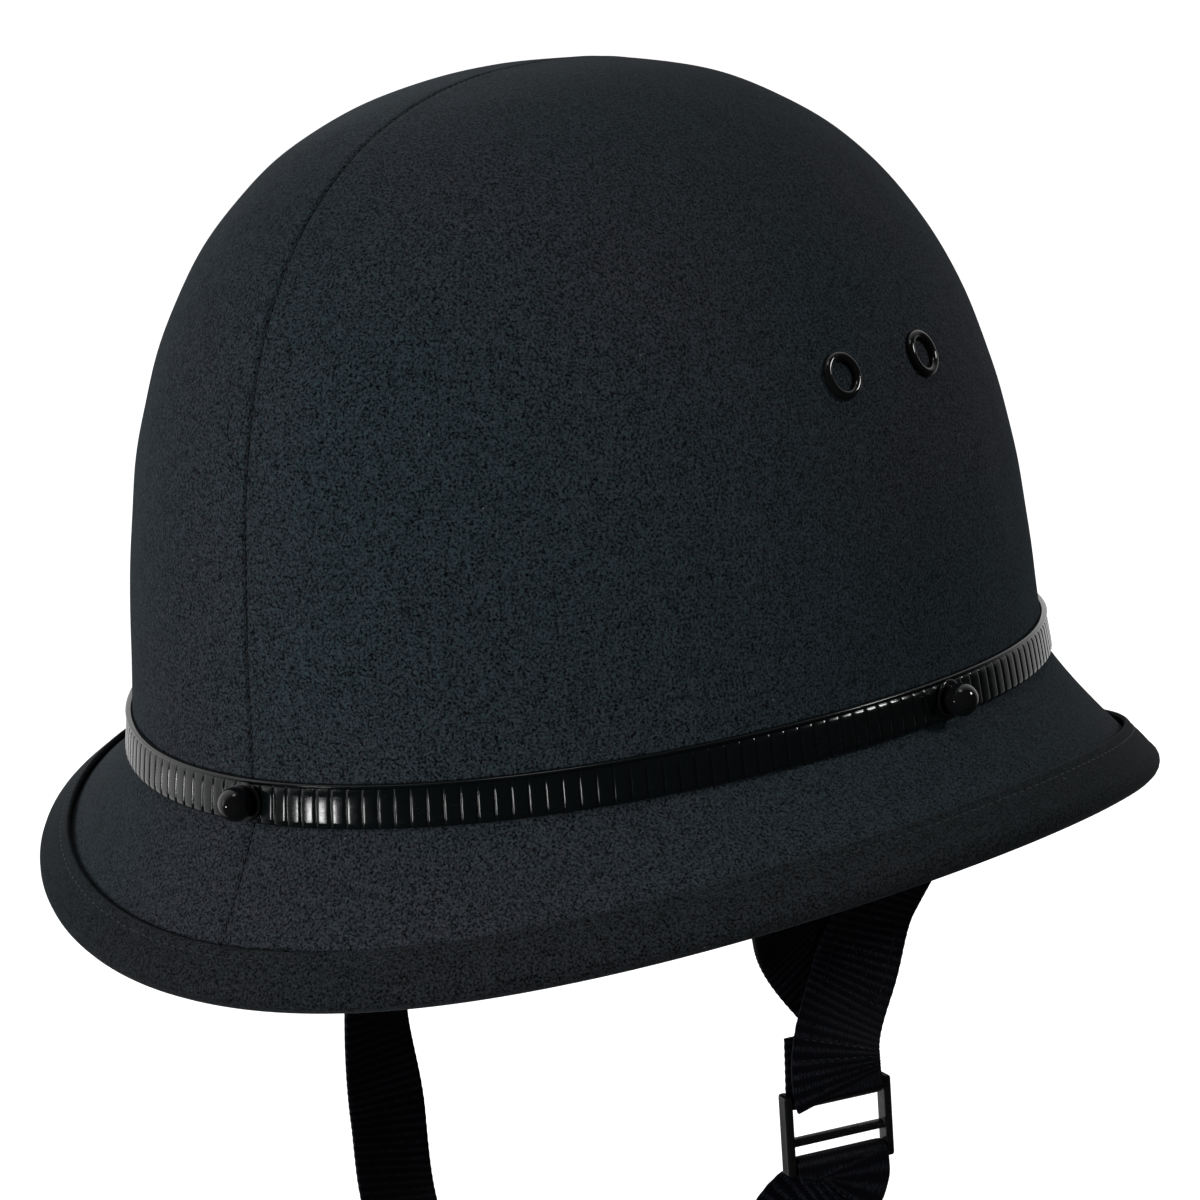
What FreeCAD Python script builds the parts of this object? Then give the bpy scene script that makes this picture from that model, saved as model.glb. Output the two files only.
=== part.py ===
import FreeCAD, Part
import math
import os
import Sketcher

# Cloth-covered riding helmet. Front toward -Y, wearer's left toward +X, +Z up, millimetres.
# The origin is the centre of the head opening, on the plane of the hat band's lower edge.

V = FreeCAD.Vector
UP = V(0, 0, 1)
RING = 36

doc = FreeCAD.newDocument("riding_helmet")
sheet = doc.addObject("Spreadsheet::Sheet", "sizes")

SIZES = {
    # crown
    "crown_half_length": 127.0,
    "crown_half_width": 110.5,
    "crown_height": 159.0,
    "crown_taper": 0.08,
    "crown_egg": 0.033,
    "crown_lean": 4.2,
    "crown_power_side": 2.5,
    "crown_power_end": 4.0,
    "crown_roundness": 2.27,
    "dip_front": 6.6,
    "dip_back": 3.0,
    # brim
    "brim_reach_front": 20.1,
    "brim_reach_side": 29.0,
    "brim_reach_back": 20.2,
    "brim_drop_front": 34.5,
    "brim_drop_side": 20.0,
    "brim_drop_back": 41.7,
    "brim_flare": 0.17,
    # layers
    "cover_thickness": 1.2,
    "glue_line": 0.05,
    "shell_thickness": 3.0,
    "board_thickness": 2.4,
    "collar_height": 13.0,
    "underlay_thickness": 1.0,
    "liner_inset": 10.7,
    "liner_inner": 20.3,
    "liner_step": 14.5,
    "liner_below": 3.0,
    "lining_thickness": 1.0,
    "lining_edge": 33.0,
    "padding_inner": 26.8,
    "padding_top": 29.0,
    "padding_below": 3.0,
    "sweat_thickness": 1.2,
    "sweat_top": 27.5,
    "comfort_thickness": 8.0,
    # trim
    "binding_thickness": 1.5,
    "binding_flange": 10.5,
    "binding_return": 7.0,
    "band_height": 10.2,
    "band_thickness": 2.0,
    # ball studs and nuts
    "stud_height": 5.0,
    "stud_disc_radius": 4.8,
    "stud_disc_thickness": 1.0,
    "stud_neck_radius": 2.2,
    "stud_ball_radius": 3.7,
    "stud_ball_height": 4.3,
    "stud_shank_radius": 1.5,
    "stud_shank_length": 11.4,
    "stud_bore_radius": 1.6,
    "nut_radius": 3.1,
    "nut_thickness": 2.3,
    "nut_gap": 0.1,
    # vents
    "vent_height": 85.3,
    "vent_front": 12.3,
    "vent_rear": 21.3,
    "eyelet_radius": 6.0,
    "eyelet_roll": 1.15,
    "eyelet_barrel": 4.2,
    "eyelet_hole": 3.5,
    "eyelet_depth": 5.1,
    "vent_bore_radius": 4.3,
    "vent_channel_radius": 4.6,
    "vent_pocket_radius": 6.5,
    "vent_pocket_depth": 6.2,
    "washer_radius": 6.0,
    "washer_thickness": 0.8,
    "washer_gap": 0.35,
    # harness
    "webbing_width": 25.0,
    "nape_width": 20.0,
    "webbing_thickness": 1.4,
    "webbing_inset": 8.4,
    "anchor_front": 62.0,
    "anchor_rear": 101.0,
    "anchor_nape": 141.0,
    "anchor_height": 6.0,
    "rivet_radius": 2.0,
    "rivet_head_radius": 3.3,
    "rivet_head_depth": 1.0,
    "rivet_let_in": 0.3,
    "rivet_length": 8.8,
    "rivet_clearance": 0.1,
    "rivet_bore": 2.1,
    "plate_width": 20.0,
    "plate_height": 10.0,
    "plate_thickness": 1.0,
    "plate_gap": 0.15,
    "fold_gap": 1.5,
    "fold_radius": 2.5,
    # slider
    "slider_width": 30.2,
    "slider_height": 21.0,
    "slider_thickness": 2.4,
    "slider_slot_width": 25.8,
    "slider_bar": 2.2,
    "slider_cross_low": -3.3,
    "slider_cross_high": -1.3,
    "slider_rail_thickness": 4.2,
    # buckle
    "buckle_width": 33.0,
    "buckle_thickness": 9.0,
    "socket_length": 25.0,
    "socket_cavity_depth": 15.5,
    "socket_cavity_width": 25.6,
    "socket_cavity_height": 5.2,
    "socket_window_start": 5.0,
    "socket_window_end": 13.0,
    "strap_slot_width": 26.0,
    "strap_slot_length": 4.6,
    "strap_bar": 2.4,
    "tongue_length": 16.0,
    "prong_length": 14.5,
    "prong_width": 3.6,
    "prong_thickness": 4.4,
    "prong_spread": 12.3,
    "guide_length": 10.0,
    "guide_width": 4.0,
    # keeper
    "keeper_length": 8.0,
    "keeper_wall": 1.5,
    "keeper_inner_width": 26.0,
    "keeper_inner_height": 3.7,
}
for row, (alias, value) in enumerate(SIZES.items(), start=1):
    sheet.set("A%d" % row, alias)
    sheet.set("B%d" % row, str(value))
    sheet.setAlias("B%d" % row, alias)
doc.recompute()
sheet.set(sheet.getCellFromAlias("rivet_bore"), "=rivet_radius + rivet_clearance")
doc.recompute()


def size(alias):
    return float(sheet.get(alias))


def bind(obj, **expressions):
    for prop, expression in expressions.items():
        obj.setExpression(prop.replace("__", "."), expression)


def shaped(label, shape):
    obj = doc.addObject("Part::Feature", label)
    obj.Label = label
    obj.Shape = shape
    return obj


# ---------------------------------------------------------------- helmet surfaces

def blend(front, side, back, phi):
    """Value round the helmet: phi is 0 at the front and a quarter turn at the wearer's left."""
    end = front if math.cos(phi) > 0 else back
    return side + (end - side) * math.cos(phi) ** 2


def crown_surface(phi, u):
    """Outer face of the crown: u is 1 at the lower edge and 0 at the top."""
    power = blend(size("crown_power_end"), size("crown_power_side"), size("crown_power_end"), phi)
    rise = 1 - u ** size("crown_roundness")
    scale = (1 - size("crown_taper") * rise) * max(0.0, 1 - rise ** power) ** (1 / size("crown_roundness"))
    dip = blend(size("dip_front"), 0.0, size("dip_back"), phi)
    x = size("crown_half_width") * (1 - size("crown_egg") * math.cos(phi)) * math.sin(phi) * scale
    y = -size("crown_half_length") * math.cos(phi) * scale - size("crown_lean") * rise ** 2
    return V(x, y, size("crown_height") * rise - dip * (1 - rise))


def crown_normal(phi, u):
    if u < 1e-6:
        return V(UP)
    step = 1e-4
    around = crown_surface(phi + step, u) - crown_surface(phi - step, u)
    along = crown_surface(phi, u - step) - crown_surface(phi, u)
    normal = around.cross(along)
    normal.normalize()
    return normal


def crown(phi, u, inset):
    return crown_surface(phi, u) - crown_normal(phi, u) * inset


def level(z):
    """The crown parameter u at height z above the lower edge."""
    return (1 - z / size("crown_height")) ** (1 / size("crown_roundness"))


def wall(phi, z, inset):
    """Point in the wall's thickness at height z, carried straight down below the lower edge."""
    if z >= 0:
        return crown(phi, level(z), inset)
    return crown(phi, 1.0, inset) + UP * z


def outward(phi):
    normal = crown_normal(phi, 1.0)
    flat = V(normal.x, normal.y, 0)
    flat.normalize()
    return flat


def brim_frame(phi, k):
    """Profile point, upward normal and outward tangent of the brim's top face, in (reach, drop)."""
    reach = blend(size("brim_reach_front"), size("brim_reach_side"), size("brim_reach_back"), phi)
    drop = blend(size("brim_drop_front"), size("brim_drop_side"), size("brim_drop_back"), phi)
    flare = size("brim_flare")
    fall = drop * ((1 + flare) * k - flare * k * k)
    slope = drop * ((1 + flare) - 2 * flare * k)
    length = math.hypot(reach, slope)
    tangent = (reach / length, -slope / length)
    normal = (slope / length, reach / length)
    return (reach * k, -fall), normal, tangent, math.hypot(reach, drop)


def flare_point(phi, reach, rise):
    return crown_surface(phi, 1.0) + outward(phi) * reach + UP * rise


def brim(phi, k, height):
    point, normal, _, _ = brim_frame(phi, k)
    return flare_point(phi, point[0] + normal[0] * height, point[1] + normal[1] * height)


def steps(start, end, count):
    return [start + (end - start) * i / count for i in range(count + 1)]


# ---------------------------------------------------------------- closed skins

def periodic_poles(values):
    """Control points of the closed cubic spline through the values."""
    count = len(values)
    poles = [V(p) for p in values]
    for _ in range(14):
        poles = [poles[i] + (values[i] - (poles[i - 1] + poles[i] * 4 + poles[(i + 1) % count]) * (1 / 6))
                 for i in range(count)]
    return poles


def ring_surface(columns):
    """Smooth face through one column of points per direction round the helmet."""
    last = len(columns[0]) - 1
    if last == 1:
        poles, degree, knots, mults = columns, 1, [0.0, 1.0], [2, 2]
    else:
        poles = []
        for column in columns:
            curve = Part.BSplineCurve()
            curve.interpolate(Points=column, Parameters=[j / last for j in range(last + 1)])
            poles.append(curve.getPoles())
        degree, knots, mults = curve.Degree, curve.getKnots(), curve.getMultiplicities()
    rows = [periodic_poles([column[j] for column in poles]) for j in range(len(poles[0]))]
    grid = [[row[(i - 1) % RING] for row in rows] for i in range(RING)]
    surface = Part.BSplineSurface()
    surface.buildFromPolesMultsKnots(grid, [1] * (RING + 1), mults, [i / RING for i in range(RING + 1)],
                                     knots, True, False, 3, degree)
    return surface


def skin_surfaces(section):
    """One surface for each strip of the section; section(phi) lists strips of points."""
    strips = [section(2 * math.pi * i / RING) for i in range(RING)]
    return [ring_surface([column[s] for column in strips]) for s in range(len(strips[0]))]


def close(faces):
    shell = Part.Shell(faces)
    shell.sewShape()
    solid = Part.Solid(shell)
    if solid.Volume < 0:
        solid.reverse()
    return solid


def full_skin(section):
    return close([s.toShape() for s in skin_surfaces(section)])


def half_skin(section, left):
    """The half of a skin on the wearer's left or right, closed by flat faces on the centre plane."""
    start, end = (0.0, 0.5) if left else (0.5, 1.0)
    faces = []
    edges = []
    for surface in skin_surfaces(section):
        part = surface.copy()
        _, _, low, high = part.bounds()
        part.segment(start, end, low, high)
        faces.append(part.toShape())
        edges += [surface.uIso(0.0).toShape(), surface.uIso(0.5).toShape()]
    for group in Part.sortEdges(edges):
        faces.append(Part.Face(Part.Wire(group)))
    return close(faces)


def dome_section(low, outer, inner, crown_steps=18):
    """Dome skin between two insets, from height low up to the top."""
    def section(phi):
        rows = steps(level(low), 0.0, crown_steps)
        outside = [crown(phi, u, outer) for u in rows]
        inside = [crown(phi, u, inner) for u in rows]
        return [outside, inside, [outside[0], inside[0]]]
    return section


cover = size("cover_thickness")
glue = size("glue_line")
shell_outer = cover + glue
shell_inner = shell_outer + size("shell_thickness")
collar_outer = shell_inner + glue
collar_inner = collar_outer + size("board_thickness")
board_low = shell_outer + size("board_thickness")
underlay_high = board_low + glue
underlay_low = underlay_high + size("underlay_thickness")


def board_section(phi):
    collar = size("collar_height")
    heights = steps(0.0, collar, 3)
    outer = [wall(phi, z, collar_outer) for z in heights]
    inner = [wall(phi, z, collar_inner) for z in reversed(heights)]
    _, normal, _, _ = brim_frame(phi, 0.0)
    lip = wall(phi, 0.0, collar_inner)
    lip.z = flare_point(phi, 0, -board_low * normal[1]).z
    under = [brim(phi, k, -board_low) for k in steps(0.0, 1.0, 6)]
    top = [brim(phi, k, -shell_outer) for k in steps(1.0, 0.0, 6)]
    return [outer, [outer[-1], inner[0]], inner, [inner[-1], lip], [lip, under[0]], under,
            [under[-1], top[0]], top, [top[-1], outer[0]]]


def brim_cover_section(phi):
    top = [brim(phi, k, 0.0) for k in steps(0.0, 1.0, 6)]
    under = [brim(phi, k, -cover) for k in steps(1.0, 0.0, 6)]
    return [top, [top[-1], under[0]], under, [under[-1], top[0]]]


def underlay_section(phi):
    _, normal, _, _ = brim_frame(phi, 0.0)
    lip_high = wall(phi, 0.0, collar_inner)
    lip_high.z = flare_point(phi, 0, -underlay_high * normal[1]).z
    lip_low = lip_high - UP * size("underlay_thickness")
    top = [brim(phi, k, -underlay_high) for k in steps(0.0, 1.0, 6)]
    under = [brim(phi, k, -underlay_low) for k in steps(1.0, 0.0, 6)]
    return [[lip_high, top[0]], top, [top[-1], under[0]], under, [under[-1], lip_low], [lip_low, lip_high]]


def binding_side(phi, offset, reverse):
    """One face of the folded binding: top flange, round the brim's edge, return underneath."""
    _, normal, tangent, length = brim_frame(phi, 1.0)
    inner_radius = (underlay_low + 2 * glue) / 2
    centre = glue - inner_radius
    radius = inner_radius + offset
    top = [brim(phi, k, centre + radius) for k in steps(1 - size("binding_flange") / length, 1.0, 4)]
    edge = []
    for i in range(9):
        angle = math.pi * i / 8
        point, _, _, _ = brim_frame(phi, 1.0)
        across = centre + radius * math.cos(angle)
        along = radius * math.sin(angle)
        edge.append(flare_point(phi, point[0] + normal[0] * across + tangent[0] * along,
                                point[1] + normal[1] * across + tangent[1] * along))
    under = [brim(phi, k, centre - radius) for k in steps(1.0, 1 - size("binding_return") / length, 3)]
    sides = [top, edge, under]
    if reverse:
        sides = [list(reversed(side)) for side in reversed(sides)]
    return sides


def binding_section(phi):
    outer = binding_side(phi, size("binding_thickness"), False)
    inner = binding_side(phi, 0.0, True)
    return outer + [[outer[-1][-1], inner[0][0]]] + inner + [[inner[-1][-1], outer[0][0]]]


def liner_section(phi):
    step = size("liner_step")
    below = -size("liner_below")
    low = size("liner_inset")
    rows = steps(level(step), 0.0, 18)
    inner_rows = steps(1.0, 0.0, 18)
    outer = [crown(phi, u, shell_inner + glue) for u in rows]
    inner = [crown(phi, u, size("liner_inner")) for u in inner_rows]
    rebate = [wall(phi, z, low) for z in steps(step, 0.0, 3)]
    foot_out = wall(phi, below, low)
    foot_in = wall(phi, below, size("liner_inner"))
    return [outer, [outer[0], rebate[0]], rebate, [rebate[-1], foot_out], [foot_out, foot_in],
            [foot_in, inner[0]], inner]


def padding_section(phi):
    outer_inset = size("liner_inner") + glue
    inner_inset = size("padding_inner")
    top = size("padding_top")
    below = -size("padding_below")
    outer = [wall(phi, z, outer_inset) for z in steps(below, top, 6)]
    crest = [outer[-1], wall(phi, top + 1.2, (outer_inset + inner_inset) / 2 - 1.0),
             wall(phi, top - 0.8, inner_inset - 1.2), wall(phi, top - 3.5, inner_inset)]
    inner = [wall(phi, z, inner_inset) for z in steps(top - 3.5, below + 3.0, 5)]
    foot = [inner[-1], wall(phi, below + 0.8, inner_inset - 1.2), outer[0]]
    return [outer, crest, inner, foot]


def sweat_section(phi):
    outer_inset = size("padding_inner") + 0.3
    thick = size("sweat_thickness")
    top = size("sweat_top")
    flange = -size("padding_below") - 1.0
    outer = [wall(phi, z, outer_inset) for z in steps(top - 1.5, flange, 6)]
    rim = wall(phi, flange, size("liner_inset") + 0.6)
    foot = rim - UP * thick
    inner = [wall(phi, z, outer_inset + thick) for z in steps(flange - thick, top - 1.5, 6)]
    return [outer, [outer[-1], rim], [rim, foot], [foot, inner[0]], inner, [inner[-1], outer[0]]]


def comfort_section(phi):
    outer_inset = size("liner_inner") + glue + size("lining_thickness") + glue
    inner_inset = outer_inset + size("comfort_thickness")
    outer = [crown(phi, u, outer_inset) for u in steps(0.46, 0.0, 8)]
    inner = [crown(phi, u, inner_inset) for u in steps(0.40, 0.0, 8)]
    edge = [outer[0], crown(phi, 0.465, outer_inset + 0.5 * size("comfort_thickness")), inner[0]]
    return [outer, inner, edge]


# ---------------------------------------------------------------- fastener places

def place(origin, axis, across=UP):
    """Placement with local Z along axis and local Y as near to the across direction as it goes."""
    z = V(axis)
    z.normalize()
    x = across.cross(z)
    x.normalize()
    y = z.cross(x)
    rotation = FreeCAD.Rotation(x, y, z, "ZXY")
    return FreeCAD.Placement(origin, rotation)


def crown_place(phi, z, inset):
    return place(crown(phi, level(z), inset), crown_normal(phi, level(z)))


def vent_phi(y):
    """Direction at which the vent row's height has this y."""
    u = level(size("vent_height"))
    low, high = math.radians(60), math.radians(120)
    for _ in range(40):
        middle = (low + high) / 2
        if crown_surface(middle, u).y < y:
            low = middle
        else:
            high = middle
    return low


vent_left = [vent_phi(-size("vent_front")), vent_phi(size("vent_rear"))]
vent_right = [2 * math.pi - phi for phi in vent_left]
quarter = math.pi / 2
stud_phis = {"front_band_stud": 0.0, "left_band_stud": quarter, "rear_band_stud": 2 * quarter,
             "right_band_stud": 3 * quarter}
anchor_left = [math.radians(size(name)) for name in ("anchor_front", "anchor_rear", "anchor_nape")]
anchor_right = [2 * math.pi - phi for phi in anchor_left]


# how far a drill runs: in past shell, board and webbing, in past the liner too, and out of the cloth
THROUGH = 12.0
LINER_THROUGH = 34.0
CLEAR = 6.0


def lowered(depth):
    """Placement at a depth below a fastener's own origin."""
    return FreeCAD.Placement(V(0, 0, -depth), FreeCAD.Rotation())


def drill(name, placement, radius, back, forward):
    """Cylinder along a fastener's axis, for cutting its hole."""
    tool = doc.addObject("Part::Cylinder", name)
    bind(tool, Radius="sizes." + radius)
    tool.Height = back + forward
    tool.Placement = placement.multiply(lowered(back))
    return tool


def group(label, members):
    compound = doc.addObject("Part::Compound", label)
    compound.Label = label
    compound.Links = members
    return compound


def cut(label, base, tool):
    result = doc.addObject("Part::Cut", label)
    result.Label = label
    result.Base = base
    result.Tool = tool
    return result


def fuse(label, members):
    result = doc.addObject("Part::MultiFuse", label)
    result.Label = label
    result.Shapes = members
    return result


def stud_drills(prefix):
    tools = []
    for i, phi in enumerate(stud_phis.values()):
        at = crown_place(phi, size("stud_height"), 0)
        tools.append(drill("%s_stud_%d" % (prefix, i), at, "stud_bore_radius", THROUGH, CLEAR))
    return tools


def vent_drills(prefix, radius, back):
    return [drill("%s_vent_%d" % (prefix, i), crown_place(phi, size("vent_height"), 0), radius, back, CLEAR)
            for i, phi in enumerate(vent_left + vent_right)]


def rivet_place(phi):
    return crown_place(phi, size("anchor_height"), shell_outer)


def rivet_solids(prefix, grow):
    """Rivets with heads let into the shell, or their holes when grown."""
    parts = []
    head_top = size("rivet_let_in")
    head_bottom = head_top + size("rivet_head_depth")
    for i, phi in enumerate(anchor_left + anchor_right):
        at = rivet_place(phi)
        body = doc.addObject("Part::Cylinder", "%s_body_%d" % (prefix, i))
        bind(body, Radius="sizes.rivet_radius + %s" % grow, Height="sizes.rivet_length + %s" % grow)
        body.Placement = at.multiply(lowered(head_top + size("rivet_length") + grow))
        head = doc.addObject("Part::Cylinder", "%s_head_%d" % (prefix, i))
        bind(head, Radius="sizes.rivet_head_radius + %s" % grow,
             Height="sizes.rivet_head_depth + 10 * %s" % grow)
        head.Placement = at.multiply(lowered(head_bottom + grow))
        parts.append(fuse("%s_%d" % (prefix, i), [body, head]))
    return parts


nodes = []


def node(obj):
    nodes.append(obj)
    return obj


# ---------------------------------------------------------------- crown, brim and covers

node(cut("crown_shell", shaped("crown_shell_blank", full_skin(dome_section(0.0, shell_outer, shell_inner))),
         group("crown_shell_bores", stud_drills("shell") + vent_drills("shell", "vent_bore_radius", THROUGH)
               + rivet_solids("shell_rivet_bore", size("rivet_clearance")))))

node(cut("brim_board", shaped("brim_board_blank", full_skin(board_section)),
         group("brim_board_bores",
               stud_drills("board") + rivet_solids("board_rivet_bore", size("rivet_clearance")))))

for side, left in (("left", True), ("right", False)):
    label = "crown_cover_" + side
    blank = shaped(label + "_blank", half_skin(dome_section(0.4, 0.0, cover), left))
    bores = stud_drills(label) + vent_drills(label, "vent_bore_radius", THROUGH)
    node(cut(label, blank, group(label + "_bores", bores)))

for side, left in (("left", True), ("right", False)):
    node(shaped("brim_cover_" + side, half_skin(brim_cover_section, left)))

node(shaped("brim_binding", full_skin(binding_section)))
node(shaped("under_brim_lining", full_skin(underlay_section)))


def ribbed_band_section(phi):
    heights = steps(0.0, size("band_height"), 3)
    inner = [wall(phi, z, -glue) for z in heights]
    outer = [wall(phi, z, -glue - size("band_thickness")) for z in reversed(heights)]
    return [inner, [inner[-1], outer[0]], outer, [outer[-1], inner[0]]]


node(cut("ribbed_band", shaped("ribbed_band_blank", full_skin(ribbed_band_section)),
         group("ribbed_band_bores", stud_drills("band"))))

# ---------------------------------------------------------------- liner and padding

liner_channels = vent_drills("liner_channel", "vent_channel_radius", LINER_THROUGH)
liner_pockets = vent_drills("liner_pocket", "vent_pocket_radius", size("vent_pocket_depth"))
node(cut("impact_liner", shaped("impact_liner_blank", full_skin(liner_section)),
         group("impact_liner_bores", [fuse("liner_vent_%d" % i, list(pair))
                                      for i, pair in enumerate(zip(liner_channels, liner_pockets))])))

lining_outer = size("liner_inner") + glue
lining_inner = lining_outer + size("lining_thickness")
lining_blank = full_skin(dome_section(size("lining_edge"), lining_outer, lining_inner))
node(cut("crown_lining", shaped("crown_lining_blank", lining_blank),
         group("crown_lining_bores", vent_drills("lining", "vent_channel_radius", LINER_THROUGH))))

node(shaped("crown_comfort_pad", full_skin(comfort_section)))
node(shaped("headband_padding", full_skin(padding_section)))
node(shaped("sweatband", full_skin(sweat_section)))

# ---------------------------------------------------------------- studs, nuts, eyelets

for label, phi in stud_phis.items():
    disc = doc.addObject("Part::Cylinder", label + "_disc")
    bind(disc, Radius="sizes.stud_disc_radius", Height="sizes.stud_disc_thickness")
    neck = doc.addObject("Part::Cylinder", label + "_neck")
    bind(neck, Radius="sizes.stud_neck_radius", Height="sizes.stud_ball_height")
    ball = doc.addObject("Part::Sphere", label + "_ball")
    bind(ball, Radius="sizes.stud_ball_radius", Placement__Base__z="sizes.stud_ball_height")
    shank = doc.addObject("Part::Cylinder", label + "_shank")
    bind(shank, Radius="sizes.stud_shank_radius", Height="sizes.stud_shank_length + 0.2",
         Placement__Base__z="-sizes.stud_shank_length")
    stud = node(fuse(label, [disc, neck, ball, shank]))
    stud.Placement = crown_place(phi, size("stud_height"), -glue - size("band_thickness") - glue)

nuts = []
for i, phi in enumerate(stud_phis.values()):
    hexagon = doc.addObject("Part::Prism", "nut_body_%d" % i)
    hexagon.Polygon = 6
    bind(hexagon, Circumradius="sizes.nut_radius", Height="sizes.nut_thickness")
    thread = doc.addObject("Part::Cylinder", "nut_thread_%d" % i)
    bind(thread, Radius="sizes.stud_shank_radius + 0.05", Height="sizes.nut_thickness")
    nut = cut("nut_%d" % i, hexagon, thread)
    nut_inset = collar_inner + size("nut_gap") + size("nut_thickness")
    nut.Placement = crown_place(phi, size("stud_height"), nut_inset)
    nuts.append(nut)
node(group("stud_nuts", nuts))

washers = []
for side, phis in (("left", vent_left), ("right", vent_right)):
    eyelets = []
    for i, phi in enumerate(phis):
        name = "eyelet_%s_%d" % (side, i)
        roll = doc.addObject("Part::Torus", name + "_roll")
        bind(roll, Radius1="sizes.eyelet_radius - sizes.eyelet_roll", Radius2="sizes.eyelet_roll",
             Placement__Base__z="sizes.eyelet_roll * 0.4")
        below = doc.addObject("Part::Cylinder", name + "_below")
        bind(below, Radius="sizes.eyelet_radius + 1", Height="sizes.eyelet_roll * 2",
             Placement__Base__z="0.05 - sizes.eyelet_roll * 2")
        barrel = doc.addObject("Part::Cylinder", name + "_barrel")
        bind(barrel, Radius="sizes.eyelet_barrel", Height="sizes.eyelet_depth + sizes.eyelet_roll",
             Placement__Base__z="-sizes.eyelet_depth")
        bore = doc.addObject("Part::Cylinder", name + "_bore")
        bind(bore, Radius="sizes.eyelet_hole", Height="sizes.eyelet_depth * 3",
             Placement__Base__z="-sizes.eyelet_depth * 1.5")
        eyelet = cut(name, fuse(name + "_outer", [cut(name + "_lip", roll, below), barrel]), bore)
        eyelet.Placement = crown_place(phi, size("vent_height"), -0.05)
        eyelets.append(eyelet)
        ring = doc.addObject("Part::Cylinder", name + "_washer_disc")
        bind(ring, Radius="sizes.washer_radius", Height="sizes.washer_thickness")
        hole = doc.addObject("Part::Cylinder", name + "_washer_hole")
        bind(hole, Radius="sizes.eyelet_barrel + 0.05", Height="sizes.washer_thickness")
        washer = cut(name + "_washer", ring, hole)
        washer_inset = shell_inner + size("washer_gap") + size("washer_thickness")
        washer.Placement = crown_place(phi, size("vent_height"), washer_inset)
        washers.append(washer)
    node(group("vent_eyelets_" + side, eyelets))
node(group("eyelet_washers", washers))

# ---------------------------------------------------------------- harness

node(group("harness_rivets", rivet_solids("rivet", 0.0)))

plates = []
for i, phi in enumerate(anchor_left + anchor_right):
    inset = (size("webbing_inset") + size("webbing_thickness") / 2 + size("plate_gap")
             + size("plate_thickness"))
    plate = doc.addObject("Part::Box", "plate_body_%d" % i)
    bind(plate, Length="sizes.plate_width", Width="sizes.plate_height", Height="sizes.plate_thickness",
         Placement__Base__x="-sizes.plate_width / 2", Placement__Base__y="-sizes.plate_height / 2")
    hole = doc.addObject("Part::Cylinder", "plate_hole_%d" % i)
    bind(hole, Radius="sizes.rivet_radius + 0.1", Height="sizes.plate_thickness")
    anchor = cut("plate_%d" % i, plate, hole)
    anchor.Placement = crown_place(phi, size("anchor_height"), inset)
    plates.append(anchor)
node(group("harness_anchor_plates", plates))


def smooth(points, normals, count):
    """Even stations along the spline through the points, with the face normals blended between them."""
    spline = Part.BSplineCurve()
    chord = [0.0]
    for before, after in zip(points, points[1:]):
        chord.append(chord[-1] + (after - before).Length)
    spline.interpolate(Points=points, Parameters=chord)
    stations = []
    for distance in steps(0.0, chord[-1], count):
        i = max(j for j in range(len(points) - 1) if chord[j] <= distance + 1e-9)
        t = (distance - chord[i]) / (chord[i + 1] - chord[i])
        t = t * t * (3 - 2 * t)
        normal = normals[i] * (1 - t) + normals[i + 1] * t
        tangent = spline.tangent(distance)[0]
        normal = normal - tangent * normal.dot(tangent)
        normal.normalize()
        stations.append((spline.value(distance), tangent, normal))
    return stations


def fold(bar, towards, face, radius):
    """Half turn of webbing round a bar, starting on the face side and heading towards."""
    stations = []
    for angle in steps(0.0, math.pi, 8):
        radial = face * math.cos(angle) + towards * math.sin(angle)
        tangent = towards * math.cos(angle) - face * math.sin(angle)
        stations.append((bar + radial * radius, tangent, radial))
    return stations


def turned(stations):
    """The same stations walked backwards."""
    return [(point, tangent * -1, normal) for point, tangent, normal in reversed(stations)]


def webbing(label, stations, width):
    """Flat strip of webbing: four long edges through the stations, ruled faces between them, flat ends."""
    thick = size("webbing_thickness")
    rings = []
    travel = [0.0]
    for point, tangent, normal in stations:
        side = normal.cross(tangent) * (width / 2)
        face = normal * (thick / 2)
        rings.append([point - side - face, point + side - face, point + side + face, point - side + face])
    for before, after in zip(stations, stations[1:]):
        travel.append(travel[-1] + (after[0] - before[0]).Length)
    curves = []
    for corner in range(4):
        curve = Part.BSplineCurve()
        curve.interpolate(Points=[ring[corner] for ring in rings], Parameters=travel)
        curves.append(curve)
    faces = []
    for i in range(4):
        near, far = curves[i], curves[(i + 1) % 4]
        surface = Part.BSplineSurface()
        surface.buildFromPolesMultsKnots([near.getPoles(), far.getPoles()], [2, 2], near.getMultiplicities(),
                                         [0.0, 1.0], near.getKnots(), False, False, 1, near.Degree)
        faces.append(surface.toShape())
    for ring in (rings[0], rings[-1]):
        faces.append(Part.Face(Part.makePolygon(ring + [ring[0]])))
    return shaped(label, close(faces))


def anchored(phi):
    """Webbing stations held against the collar, from the anchor down past the rim."""
    heights = (12.0, 6.0, 0.0, -6.0)
    points = [wall(phi, z, size("webbing_inset")) for z in heights]
    return points, [outward(phi)] * len(points)


def with_rivet(label, stations, width, phis):
    blank = webbing(label + "_blank", stations, width)
    holes = [drill("%s_hole_%d" % (label, i), rivet_place(phi), "rivet_bore", THROUGH, CLEAR)
             for i, phi in enumerate(phis)]
    return node(cut(label, blank, group(label + "_holes", holes)))


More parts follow.
